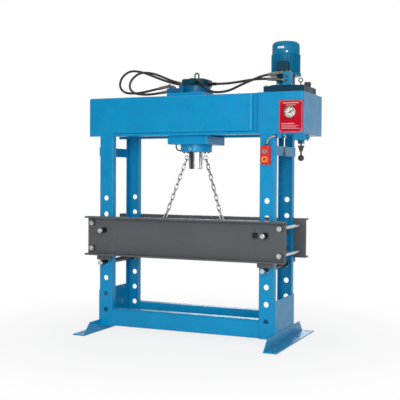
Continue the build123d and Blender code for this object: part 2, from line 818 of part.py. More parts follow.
# Switch box: a hollow box on a back plate, with two button holes
with BuildPart() as switch_box:
    span_box((box_x - box_width / 2, box_x + box_width / 2), (front - box_plate_wall, box_face),
             (box_bottom, box_top))
    fillet(switch_box.faces().sort_by(Axis.Y)[0].edges(), box_corner)
    span_box((box_x - box_width / 2 + box_wall, box_x + box_width / 2 - box_wall),
             (front - box_plate_wall, box_face + box_wall), (box_bottom + box_wall, box_top - box_wall),
             Mode.SUBTRACT)
    span_box((box_x - box_width / 2, box_x + box_width / 2), (front, front - box_plate_wall),
             (box_bottom - box_plate_margin, box_top))
    for button_z in (start_button_z, stop_button_z):
        round_bar((box_x, box_face, button_z), (0, 1, 0), button_radius + button_gap, box_wall,
                  Mode.SUBTRACT)
save(switch_box, "switch_box")


# Buttons: flanged plungers that stand out of the switch box
def make_button(name, height):
    with BuildPart() as button:
        round_bar((box_x, box_face - button_stand, height), (0, 1, 0), button_radius,
                  button_stand + button_inside)
        fillet(button.faces().sort_by(Axis.Y)[0].edges(), button_edge)
    save(button, name)


make_button("start_button", start_button_z)
make_button("stop_button", stop_button_z)
make_tube("switch_conduit", conduit_route, conduit_radius)

# Control valve: a block under the tank with end caps and two ears for the lever
with BuildPart() as control_valve:
    span_box((valve_left, valve_right), (valve_front, valve_rear), (valve_bottom, crosshead_bottom))
    fillet(control_valve.edges().filter_by(Axis.Z), valve_edge)
    for end_x, direction in ((valve_left, -1), (valve_right, 1)):
        round_bar((end_x, lever_y, (valve_bottom + crosshead_bottom) / 2), (direction, 0, 0),
                  valve_cap_radius,
                  valve_cap_length)
    for side_x in (-1, 1):
        ear_inner = lever_x + side_x * ear_gap / 2
        span_box((ear_inner, ear_inner + side_x * ear_wall),
                 (lever_y - ear_width / 2, lever_y + ear_width / 2),
                 (valve_bottom - ear_drop, valve_bottom))
    round_bar((lever_x - ear_gap / 2 - ear_wall, lever_y, lever_pivot_z), (1, 0, 0),
              lever_pin_radius + lever_pin_fit,
              ear_gap + 2 * ear_wall, Mode.SUBTRACT)
save(control_valve, "control_valve")

# Control lever: boss and pin between the ears, folded boot, rod and ball knob
with BuildPart() as control_lever:
    boss_width = ear_gap - 2 * lever_side_gap
    round_bar((lever_x - boss_width / 2, lever_y, lever_pivot_z), (1, 0, 0), lever_boss_radius, boss_width)
    round_bar((lever_x - ear_gap / 2 - ear_wall, lever_y, lever_pivot_z), (1, 0, 0), lever_pin_radius,
              ear_gap + 2 * ear_wall)
    round_bar((lever_x, lever_y, lever_pivot_z), (0, 0, -1), lever_rod_radius, lever_drop)
    fold_height = (boot_bottom_drop - boot_top_drop) / boot_folds
    for fold in range(boot_folds):
        fold_top = boot_top_radius + (boot_bottom_radius - boot_top_radius) * fold / boot_folds
        fold_bottom = fold_top - lever_rod_radius / 2
        with Locations((lever_x, lever_y, lever_pivot_z - boot_top_drop - (fold + 1 / 2) * fold_height)):
            Cone(fold_bottom, fold_top, fold_height)
    with Locations((lever_x, lever_y, lever_pivot_z - lever_drop)):
        Sphere(knob_radius)
save(control_lever, "control_lever")

# Release lever: boss and pin in the tank's lug, thin rod and grip
with BuildPart() as release_lever:
    boss_face = lug_front - lever_side_gap
    round_bar((lug_x, boss_face, release_pivot_z), (0, -1, 0), release_boss_radius, release_boss_wall)
    round_bar((lug_x, lug_front + lug_wall, release_pivot_z), (0, -1, 0), release_pin_radius,
              lug_wall + lever_side_gap)
    rod_top = (lug_x, boss_face - release_boss_wall / 2, release_pivot_z)
    round_bar(rod_top, (0, 0, -1), release_rod_radius, release_drop)
    grip_top = (lug_x, boss_face - release_boss_wall / 2, release_pivot_z - release_drop)
    round_bar(grip_top, (0, 0, -1), release_grip_radius, release_grip_length)
    fillet(release_lever.faces().sort_by(Axis.Z)[0].edges(), release_rod_radius)
save(release_lever, "release_lever")

# Carriage: the lower frame under the rails and the top plate that rides on the crosshead
with BuildPart() as carriage_frame:
    span_box((-carriage_width / 2, carriage_width / 2), (-carriage_depth / 2, carriage_depth / 2),
             (gland_top, carriage_top))
    fillet(carriage_frame.edges().filter_by(Axis.Z), carriage_edge)
    round_bar((0, 0, gland_top), (0, 0, 1), cylinder_radius + bore_gap, carriage_top - gland_top,
              Mode.SUBTRACT)
save(carriage_frame, "carriage_frame")

with BuildPart() as carriage_top_plate:
    span_box((top_plate_left, top_plate_right), (-top_plate_depth / 2, top_plate_depth / 2),
             (plate_bottom, plate_top))
    span_box((block_left, 0), (block_front - top_plate_tab_margin, block_rear + top_plate_tab_margin),
             (plate_bottom, plate_top))
    fillet(carriage_top_plate.edges().filter_by(Axis.Z), carriage_edge)
    round_bar((0, 0, plate_bottom), (0, 0, 1), cylinder_radius + bore_gap, top_plate_height, Mode.SUBTRACT)
save(carriage_top_plate, "carriage_top_plate")

# Cylinder: barrel with a seat collar, screwed-on gland, and square head with a port boss on its front
with BuildPart() as cylinder_barrel:
    round_bar((0, 0, gland_top), (0, 0, 1), cylinder_radius, cylinder_top - gland_top)
    round_bar((0, 0, plate_top), (0, 0, 1), collar_radius, collar_height)
    round_bar((0, 0, gland_top), (0, 0, 1), cylinder_bore, cylinder_top - gland_top, Mode.SUBTRACT)
save(cylinder_barrel, "cylinder_barrel")

with BuildPart() as cylinder_gland:
    round_bar((0, 0, gland_bottom), (0, 0, 1), gland_radius, gland_top - gland_bottom)
    fillet(cylinder_gland.faces().sort_by(Axis.Z)[0].edges(), carriage_edge)
    round_bar((0, 0, gland_bottom), (0, 0, 1), ram_radius + ram_fit, gland_top - gland_bottom,
              Mode.SUBTRACT)
save(cylinder_gland, "cylinder_gland")

with BuildPart() as cylinder_head:
    span_box((-head_width / 2, head_width / 2), (-head_width / 2, head_width / 2), (cylinder_top, head_top))
    fillet(cylinder_head.edges().filter_by(Axis.Z), head_corner)
    fillet(cylinder_head.faces().sort_by(Axis.Z)[-1].edges(), head_edge)
    span_box((head_width / 2, head_width / 2 + bracket_wall), (-bracket_width / 2, bracket_width / 2),
             (cylinder_top, head_top - head_edge))
    port = fitting_root(port_boss_reach, *supply_front_route[:-3:-1])
    span_box((0, port_boss_reach), (port.Y - port_boss_width / 2, 0),
             (port.Z - port_boss_height / 2, port.Z + port_boss_height / 2))
save(cylinder_head, "cylinder_head")

# Lifting eye: a long eye on top of the cylinder head
with BuildPart() as lifting_eye:
    eye_low = head_top + eye_wire_radius
    with BuildLine() as eye_path:
        Line((-eye_ring_radius, 0, eye_low), (-eye_ring_radius, 0, eye_low + eye_stretch))
        ThreePointArc((-eye_ring_radius, 0, eye_low + eye_stretch),
                      (0, 0, eye_low + eye_stretch + eye_ring_radius),
                      (eye_ring_radius, 0, eye_low + eye_stretch))
        Line((eye_ring_radius, 0, eye_low + eye_stretch), (eye_ring_radius, 0, eye_low))
    with BuildSketch(eye_path.line ^ 0):
        Circle(eye_wire_radius)
    sweep()
    span_box((-eye_ring_radius - eye_wire_radius, eye_ring_radius + eye_wire_radius),
             (-eye_wire_radius, eye_wire_radius), (head_top, head_top + 2 * eye_wire_radius))
save(lifting_eye, "lifting_eye")

# Port block on the top plate's left, with a lug beside the cylinder and two bleed nubs
with BuildPart() as port_block:
    span_box((block_left, block_right), (block_front, block_rear), (plate_top, plate_top + block_height))
    span_box((block_lug_left, block_lug_right), (block_lug_front, block_lug_rear),
             (plate_top, plate_top + block_lug_height))
    round_bar((0, 0, plate_top), (0, 0, 1), collar_radius + bore_gap, block_lug_height, Mode.SUBTRACT)
    for share in nub_shares:
        nub_x = block_left + share * (block_right - block_left)
        round_bar((nub_x, block_front + 2 * nub_radius, plate_top + block_height), (0, 0, 1), nub_radius,
                  nub_height)
save(port_block, "port_block")

# Carriage fittings: hose ends on the head, its boss and bracket, and the port block
with BuildPart() as carriage_fittings:
    hose_fitting(-head_width / 2, *loop_inner_route[:2])
    hose_fitting(-head_width / 2, *loop_outer_route[:2])
    hose_fitting(head_width / 2 + bracket_wall, *supply_rear_route[:-3:-1])
    hose_fitting(port_boss_reach, *supply_front_route[:-3:-1])
    hose_fitting(block_left, *loop_inner_route[:-3:-1])
    elbow = loop_outer_route[-1]
    span_box((block_left, block_left + hex_across_flats),
             (elbow[1] - hex_across_flats / 2, elbow[1] + hex_across_flats / 2),
             (plate_top + block_height, elbow[2] + hex_across_flats / 2))
    hose_fitting(block_left, *loop_outer_route[:-3:-1])
save(carriage_fittings, "carriage_fittings")

make_tube("return_pipe", return_pipe_route, return_pipe_radius)

# Ram: rod and piston, with a groove above its nose and threaded holes for the chain eyes
with BuildPart() as ram:
    round_bar((0, 0, ram_bottom), (0, 0, 1), ram_radius, piston_bottom - ram_bottom)
    chamfer(ram.faces().sort_by(Axis.Z)[0].edges(), ram_chamfer)
    round_bar((0, 0, piston_bottom), (0, 0, 1), cylinder_bore - ram_fit, piston_height)
    with BuildSketch(Plane.XY.offset(ram_groove_z)):
        Circle(ram_radius)
        Circle(ram_radius - ram_groove, mode=Mode.SUBTRACT)
    extrude(amount=ram_groove, mode=Mode.SUBTRACT)
    for side_x in (-1, 1):
        round_bar((side_x * (ram_radius - eye_stud_depth), 0, chain_eye_z), (side_x, 0, 0), eye_stud_radius,
                  eye_stud_depth, Mode.SUBTRACT)
save(ram, "ram")

# Chain eyes: rings on studs screwed into the ram
with BuildPart() as chain_eyes:
    for side_x in (-1, 1):
        ring((side_x * chain_eye_x, 0, chain_eye_z), (0, 1, 0), chain_eye_radius, chain_eye_wire)
        round_bar((side_x * (ram_radius - eye_stud_depth), 0, chain_eye_z), (side_x, 0, 0), eye_stud_radius,
                  chain_eye_x - chain_eye_radius - ram_radius + eye_stud_depth)
save(chain_eyes, "chain_eyes")


# Lift chains: alternate links from each eye down to a shackle round a table bar
def make_chain(name, side_x):
    eye = Vector(side_x * chain_eye_x, 0, chain_eye_z)
    bar = Vector(side_x * chain_bar_x, chain_hook_y, chain_bar_z)
    flat = Vector(bar.X - eye.X, 0, bar.Z - eye.Z).normalized()
    start = eye + flat * chain_eye_radius
    along = (bar - start).normalized()
    across = (Vector(0, 1, 0) - along * along.Y).normalized()
    seat = shackle_radius - chain_wire - chain_bar_radius - chain_slack
    ends = shackle_radius + seat - chain_eye_wire - 2 * chain_slack
    pitch = ((bar - start).length - ends + chain_wire) / chain_links
    reach = (pitch + 2 * chain_wire + chain_slack) / 2
    straight = reach - chain_half_width
    centre = start + along * (reach - chain_wire - chain_eye_wire - chain_slack)
    with BuildPart() as chain:
        for index in range(chain_links):
            middle = centre + along * (index * pitch)
            side = across if index % 2 == 0 else along.cross(across)
            link_plane = Plane(origin=middle, x_dir=along, z_dir=along.cross(side))
            with BuildLine(link_plane) as loop:
                Line((0, chain_half_width), (straight, chain_half_width))
                ThreePointArc((straight, chain_half_width), (reach, 0), (straight, -chain_half_width))
                Line((straight, -chain_half_width), (-straight, -chain_half_width))
                ThreePointArc((-straight, -chain_half_width), (-reach, 0), (-straight, chain_half_width))
                Line((-straight, chain_half_width), (0, chain_half_width))
            with BuildSketch(Plane(origin=loop.line @ 0, z_dir=along)):
                Circle(chain_wire)
            sweep(path=loop.line)
        low = centre + along * ((chain_links - 1) * pitch + reach - 2 * chain_wire - chain_slack)
        ring(low + along * shackle_radius, across, shackle_radius, chain_wire)
    print(name, "link pitch", round(pitch, 2), "solids", len(chain.part.solids()))
    save(chain, name)


make_chain("lift_chain_left", -1)
make_chain("lift_chain_right", 1)


# Table: channels outside the posts with end pads, lock bushes and saddles over the support pins
def make_table_channel(name, side_y):
    with BuildPart() as channel:
        span_box((-table_length / 2, table_length / 2), (side_y * web_inner, side_y * web_outer),
                 (table_bottom, table_top))
        for low, high in ((table_bottom, table_bottom + table_flange_wall),
                          (table_top - table_flange_wall, table_top)):
            span_box((-table_length / 2, table_length / 2), (side_y * web_inner, side_y * flange_tip),
                     (low, high))
        for side_x in (-1, 1):
            pad_inner = side_x * (post_inner - pad_lap)
            span_box((pad_inner, side_x * table_length / 2), (side_y * web_outer, side_y * pad_face),
                     (table_bottom + table_flange_wall, table_top - table_flange_wall))
            span_box((side_x * post_inner, side_x * post_outer),
                     (side_y * web_inner, side_y * (web_inner + saddle_depth)),
                     (table_bottom - saddle_height, table_bottom))
            for side_z in (-1, 1):
                round_bar((side_x * tie_rod_x, side_y * web_inner,
                           tie_middle_z + side_z * tie_rod_spacing_z / 2),
                          (0, side_y, 0), tie_rod_radius + tie_hole_gap, table_web + pad_wall,
                          Mode.SUBTRACT)
            if side_y < 0:
                round_bar((side_x * post_x, -pad_face, lock_pin_z), (0, -1, 0), lock_bush_radius,
                          lock_bush_length)
                round_bar((side_x * post_x, -web_inner, lock_pin_z), (0, -1, 0),
                          lock_pin_radius + lock_pin_fit,
                          table_web + pad_wall + lock_bush_length, Mode.SUBTRACT)
    save(channel, name)


make_table_channel("table_channel_front", -1)
make_table_channel("table_channel_rear", 1)

# Tie rods: rods across the two channels with washers and nuts at both ends
with BuildPart() as tie_rods:
    for side_x in (-1, 1):
        for side_z in (-1, 1):
            rod_z = tie_middle_z + side_z * tie_rod_spacing_z / 2
            rod_reach = pad_face + washer_height + nut_height + tie_rod_stub
            round_bar((side_x * tie_rod_x, -rod_reach, rod_z), (0, 1, 0), tie_rod_radius, 2 * rod_reach)
            for side_y in (-1, 1):
                round_bar((side_x * tie_rod_x, side_y * pad_face, rod_z), (0, side_y, 0), washer_radius,
                          washer_height)
                hex_bar((side_x * tie_rod_x, side_y * (pad_face + washer_height), rod_z), (0, side_y, 0),
                        nut_across_flats, nut_height)
save(tie_rods, "tie_rods")

# Chain bars: round bars between the table channels
with BuildPart() as chain_bars:
    for side_x in (-1, 1):
        round_bar((side_x * chain_bar_x, -web_inner, chain_bar_z), (0, 1, 0), chain_bar_radius,
                  2 * web_inner)
save(chain_bars, "chain_bars")


# Lock pins, drawn back clear of the posts
def make_lock_pin(name, side_x):
    with BuildPart() as pin:
        round_bar((side_x * post_x, -lock_pin_tip, lock_pin_z), (0, -1, 0), lock_pin_radius,
                  lock_pin_end - lock_pin_tip)
        chamfer(pin.faces().sort_by(Axis.Y)[-1].edges(), pad_wall / 2)
        round_bar((side_x * post_x, -lock_pin_end, lock_pin_z), (0, 1, 0), lock_head_radius,
                  lock_head_length)
        fillet(pin.faces().sort_by(Axis.Y)[0].edges(), pad_wall / 2)
    save(pin, name)


make_lock_pin("lock_pin_left", -1)
make_lock_pin("lock_pin_right", 1)


# Support pins: long bars through a front and a rear post
def make_support_pin(name, side_x):
    with BuildPart() as pin:
        round_bar((side_x * post_x, -support_pin_length / 2, support_pin_z), (0, 1, 0), support_pin_radius,
                  support_pin_length)
        chamfer(pin.edges().filter_by(GeomType.CIRCLE), pad_wall / 2)
    save(pin, name)


make_support_pin("support_pin_left", -1)
make_support_pin("support_pin_right", 1)

# Hoses
make_tube("supply_hose_front", supply_front_route, hose_radius)
make_tube("supply_hose_rear", supply_rear_route, hose_radius)
make_tube("loop_hose_inner", loop_inner_route, hose_radius)
make_tube("loop_hose_outer", loop_outer_route, hose_radius)
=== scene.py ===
import math

import bmesh
import bpy
from mathutils import Matrix, Vector


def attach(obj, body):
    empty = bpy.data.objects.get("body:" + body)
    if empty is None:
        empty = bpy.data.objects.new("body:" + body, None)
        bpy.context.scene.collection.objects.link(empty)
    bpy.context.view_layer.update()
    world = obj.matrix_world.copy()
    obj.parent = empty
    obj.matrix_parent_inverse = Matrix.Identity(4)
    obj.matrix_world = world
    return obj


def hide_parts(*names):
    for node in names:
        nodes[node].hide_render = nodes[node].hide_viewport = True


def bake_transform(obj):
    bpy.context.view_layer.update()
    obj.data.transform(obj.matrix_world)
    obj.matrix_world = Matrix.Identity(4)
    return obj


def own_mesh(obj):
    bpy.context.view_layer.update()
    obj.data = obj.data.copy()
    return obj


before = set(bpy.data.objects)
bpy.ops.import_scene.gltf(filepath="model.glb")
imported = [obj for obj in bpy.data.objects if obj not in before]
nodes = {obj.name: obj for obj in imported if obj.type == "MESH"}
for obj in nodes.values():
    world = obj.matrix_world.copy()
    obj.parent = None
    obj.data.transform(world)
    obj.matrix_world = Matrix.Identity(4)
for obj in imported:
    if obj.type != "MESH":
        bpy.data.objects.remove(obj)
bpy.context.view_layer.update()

scene = bpy.context.scene
MM = 0.001
UP, DOWN, FRONT = (0, 0, 1), (0, 0, -1), (0, -1, 0)


def mm(*values):
    """A point given in millimetres, as a vector in metres."""
    return Vector(values) * MM


# Camera, at the photograph's place and angle
CAMERA_PLACE = mm(2689.7, -6116.5, 1268.6)
CAMERA_RIGHT = Vector((0.91719, 0.39839, 0.00665))
CAMERA_UP = Vector((-0.01711, 0.02271, 0.99960))
CAMERA_BACK = Vector((0.39807, -0.91694, 0.02765))
CAMERA_LENS = 74.33

camera_data = bpy.data.cameras.new("photo_camera")
camera_data.sensor_width = 36.0
camera_data.lens = CAMERA_LENS
camera_data.clip_end = 100.0
camera = bpy.data.objects.new("photo_camera", camera_data)
scene.collection.objects.link(camera)
turn = Matrix((CAMERA_RIGHT, CAMERA_UP, CAMERA_BACK)).transposed().to_4x4()
camera.matrix_world = Matrix.Translation(CAMERA_PLACE) @ turn
scene.camera = camera


# Node materials
class Shader:
    """A small helper that adds nodes and links to one material."""

    def __init__(self, name):
        self.material = bpy.data.materials.new(name)
        self.material.use_nodes = True
        self.tree = self.material.node_tree
        self.tree.nodes.clear()
        self.output = self.tree.nodes.new("ShaderNodeOutputMaterial")

    def add(self, kind, **settings):
        node = self.tree.nodes.new("ShaderNode" + kind)
        for key, value in settings.items():
            setattr(node, key, value)
        return node

    def link(self, source, target):
        self.tree.links.new(source, target)

    def place(self, stretch=(1, 1, 1)):
        """Object coordinates in metres, stretched along each axis."""
        where = self.add("TexCoord")
        mapping = self.add("Mapping")
        mapping.inputs["Scale"].default_value = stretch
        self.link(where.outputs["Object"], mapping.inputs["Vector"])
        return mapping.outputs["Vector"]

    def noise(self, scale, detail=4.0, stretch=(1, 1, 1)):
        texture = self.add("TexNoise")
        texture.inputs["Scale"].default_value = scale
        texture.inputs["Detail"].default_value = detail
        self.link(self.place(stretch), texture.inputs["Vector"])
        return texture.outputs["Fac"]

    def span(self, value, low, high, out_low=0.0, out_high=1.0):
        """Maps a range of one value to another range, clamped."""
        node = self.add("MapRange")
        node.inputs["From Min"].default_value = low
        node.inputs["From Max"].default_value = high
        node.inputs["To Min"].default_value = out_low
        node.inputs["To Max"].default_value = out_high
        self.link(value, node.inputs["Value"])
        return node.outputs["Result"]

    def math(self, operation, a, b):
        node = self.add("Math", operation=operation)
        for socket, value in zip(node.inputs, (a, b)):
            if isinstance(value, (int, float)):
                socket.default_value = value
            else:
                self.link(value, socket)
        return node.outputs["Value"]

    def mix(self, share, a, b):
        node = self.add("Mix", data_type="RGBA")
        if isinstance(share, (int, float)):
            node.inputs[0].default_value = share
        else:
            self.link(share, node.inputs[0])
        for socket, value in zip((node.inputs[6], node.inputs[7]), (a, b)):
            if isinstance(value, tuple):
                socket.default_value = (*value, 1.0)
            else:
                self.link(value, socket)
        return node.outputs[2]

    def edges(self, radius):
        """How far a rounded normal turns from the true one: high along sharp edges."""
        bevel = self.add("Bevel", samples=4)
        bevel.inputs["Radius"].default_value = radius
        true = self.add("NewGeometry")
        dot = self.add("VectorMath", operation="DOT_PRODUCT")
        self.link(bevel.outputs["Normal"], dot.inputs[0])
        self.link(true.outputs["Normal"], dot.inputs[1])
        return self.math("SUBTRACT", 1.0, dot.outputs["Value"])

    def bump(self, height, strength, distance=0.001):
        node = self.add("Bump")
        node.inputs["Strength"].default_value = strength
        node.inputs["Distance"].default_value = distance
        self.link(height, node.inputs["Height"])
        return node.outputs["Normal"]

    def finish(self, **sockets):
        body = self.add("BsdfPrincipled")
        for key, value in sockets.items():
            socket = body.inputs[key.replace("_", " ")]
            if isinstance(value, (int, float)):
                socket.default_value = value
            elif isinstance(value, tuple):
                socket.default_value = (*value, 1.0)
            else:
                self.link(value, socket)
        self.link(body.outputs["BSDF"], self.output.inputs["Surface"])
        return self.material


HAND_STAIN = (0.2, 0.17, 0.14)


def shade(colour, factor):
    return tuple(min(1.0, c * factor) for c in colour)


def paint(name, colour, roughness=0.30, wear=0.5, peel=0.06, worn=None, gloss=0.22):
    """Sprayed enamel: cloudy colour, orange peel, dust in broad patches and lighter rubbed edges."""
    s = Shader(name)
    cloud = s.noise(3.2, 5.0)
    dust = s.noise(17.0, 6.0)
    base = s.mix(s.span(cloud, 0.3, 0.7), shade(colour, 0.92), shade(colour, 1.06))
    dusty = s.mix(s.span(dust, 0.55, 0.8, 0.0, 0.10), base, tuple(c * 0.7 + 0.10 for c in colour))
    rub = s.math("MULTIPLY", s.span(s.edges(0.004), 0.02, 0.25), s.span(s.noise(60.0, 5.0), 0.40, 0.62))
    rub = s.math("MULTIPLY", rub, wear)
    final = s.mix(rub, dusty, worn or tuple(c * 0.6 + 0.22 for c in colour))
    rough = s.span(s.noise(9.0, 4.0), 0.3, 0.7, roughness - 0.06, roughness + 0.09)
    return s.finish(Base_Color=final, Roughness=rough, Normal=s.bump(s.noise(420.0, 2.0), peel),
                    Specular_IOR_Level=gloss)


def steel(name, colour, roughness=0.3, stretch=(1, 1, 1), grain=260.0, stain=HAND_STAIN, stains=0.3):
    """Turned or drawn steel: fine grain along one way and darker handling stains."""
    s = Shader(name)
    lines = s.noise(grain, 6.0, stretch)
    base = s.mix(s.span(lines, 0.3, 0.7), shade(colour, 0.82), shade(colour, 1.08))
    marks = s.span(s.noise(26.0, 6.0), 0.52, 0.78, 0.0, stains)
    final = s.mix(marks, base, stain)
    rough = s.span(s.noise(40.0, 5.0), 0.3, 0.7, roughness - 0.08, roughness + 0.12)
    return s.finish(Base_Color=final, Metallic=1.0, Roughness=rough, Normal=s.bump(lines, 0.12, 0.0004))


def plastic(name, colour, roughness=0.42, grain=900.0, depth=0.12):
    """Moulded plastic with a fine grain and faint handling marks."""
    s = Shader(name)
    lighter = tuple(c * 1.1 + 0.004 for c in colour)
    base = s.mix(s.span(s.noise(30.0, 4.0), 0.3, 0.7), shade(colour, 0.85), lighter)
    rough = s.span(s.noise(55.0, 4.0), 0.3, 0.7, roughness - 0.08, roughness + 0.1)
    return s.finish(Base_Color=base, Roughness=rough, Normal=s.bump(s.noise(grain, 2.0), depth, 0.0005))


def two_tone(name, axis, edge, low, high, grain=260.0):
    """One finish below a place on an axis and another above it; each is (colour, metallic, roughness)."""
    s = Shader(name)
    parts = s.add("SeparateXYZ")
    s.link(s.place(), parts.inputs["Vector"])
    share = s.span(parts.outputs[axis], edge - 0.0004, edge + 0.0004)
    lines = s.noise(grain, 5.0)
    tones = [s.mix(s.span(lines, 0.3, 0.7), shade(colour, 0.8), shade(colour, 1.12))
             for colour in (low[0], high[0])]
    final = s.mix(share, tones[0], tones[1])
    metallic = s.span(share, 0.0, 1.0, low[1], high[1])
    smudge = s.span(s.noise(45.0, 4.0), 0.3, 0.7, -0.06, 0.08)
    rough = s.math("ADD", s.span(share, 0.0, 1.0, low[2], high[2]), smudge)
    return s.finish(Base_Color=final, Metallic=metallic, Roughness=rough, Normal=s.bump(lines, 0.1, 0.0004))


def banded_steel(name, inner, outer):
    """Bright steel with a dark stretch of painted shade between two distances from the middle plane."""
    s = Shader(name)
    parts = s.add("SeparateXYZ")
    s.link(s.place(), parts.inputs["Vector"])
    reach = s.math("ABSOLUTE", parts.outputs["Y"], 0.0)
    past_inner = s.span(reach, inner - 0.0002, inner)
    before_outer = s.span(reach, outer, outer + 0.0002, 1.0, 0.0)
    washer_painted_shade = s.math("MULTIPLY", past_inner, before_outer)
    lines = s.noise(420.0, 5.0)
    bright = s.mix(s.span(lines, 0.3, 0.7), (0.50, 0.50, 0.50), (0.68, 0.68, 0.68))
    marks = s.mix(s.span(s.noise(26.0, 6.0), 0.52, 0.78, 0.0, 0.35), bright, HAND_STAIN)
    # painted shade: the washers are darkened to stand in for the shade beside each nut
    final = s.mix(washer_painted_shade, marks, (0.035, 0.035, 0.037))
    rough = s.span(s.noise(40.0, 5.0), 0.3, 0.7, 0.2, 0.4)
    return s.finish(Base_Color=final, Metallic=1.0, Roughness=rough, Normal=s.bump(lines, 0.12, 0.0004))


def reflection_banded_chrome(name):
    """Hard-chromed rod: long dark and bright bands of painted reflection along its length, with fine draw
    lines.
    """
    s = Shader(name)
    broad = s.noise(26.0, 2.0, (1, 1, 0.004))
    fine = s.noise(240.0, 4.0, (1, 1, 0.01))
    # painted reflection: dark and bright streaks in the base colour stand in for the room mirrored in the
    # chrome
    base = s.mix(s.span(broad, 0.42, 0.56), (0.05, 0.05, 0.055), (0.78, 0.78, 0.79))
    final = s.mix(s.span(fine, 0.45, 0.75, 0.0, 0.25), base, (0.35, 0.35, 0.36))
    rough = s.span(fine, 0.3, 0.7, 0.12, 0.24)
    return s.finish(Base_Color=final, Metallic=1.0, Roughness=rough, Normal=s.bump(fine, 0.06, 0.0003))


def ribbed_conduit(name):
    """Coiled metal conduit: close ribbing along its length, dark with a painted highlight on each crest."""
    s = Shader(name)
    parts = s.add("SeparateXYZ")
    s.link(s.place(), parts.inputs["Vector"])
    along = s.math("ADD", parts.outputs["X"], parts.outputs["Z"])
    ribs_and_crest_highlight = s.span(s.math("SINE", s.math("MULTIPLY", along, 1300.0), 0.0), -1.0, 1.0)
    dirt = s.span(s.noise(70.0, 4.0), 0.45, 0.75, 0.0, 0.5)
    # painted highlight: the colour rises from dark in the valleys to bright on the rib crests
    base = s.mix(ribs_and_crest_highlight, (0.10, 0.105, 0.11), (0.62, 0.63, 0.64))
    final = s.mix(dirt, base, (0.16, 0.16, 0.16))
    return s.finish(Base_Color=final, Metallic=0.8, Roughness=s.span(dirt, 0.0, 0.5, 0.26, 0.5),
                    Normal=s.bump(ribs_and_crest_highlight, 0.5, 0.0012))


def hose_rubber():
    """Wrapped rubber cover: a fine spiral wrap along the hose and scuffed high spots."""
    s = Shader("hose_rubber_look")
    along = s.add("TexCoord")
    wave = s.add("TexWave", wave_type="BANDS", bands_direction="DIAGONAL")
    wave.inputs["Scale"].default_value = 26.0
    wave.inputs["Distortion"].default_value = 0.4
    s.link(along.outputs["UV"], wave.inputs["Vector"])
    scuff = s.span(s.noise(34.0, 6.0), 0.5, 0.75, 0.0, 0.5)
    base = s.mix(scuff, (0.013, 0.013, 0.014), (0.045, 0.043, 0.042))
    rough = s.span(s.noise(60.0, 3.0), 0.3, 0.7, 0.38, 0.58)
    return s.finish(Base_Color=base, Roughness=rough, Normal=s.bump(wave.outputs["Fac"], 0.25, 0.0006))


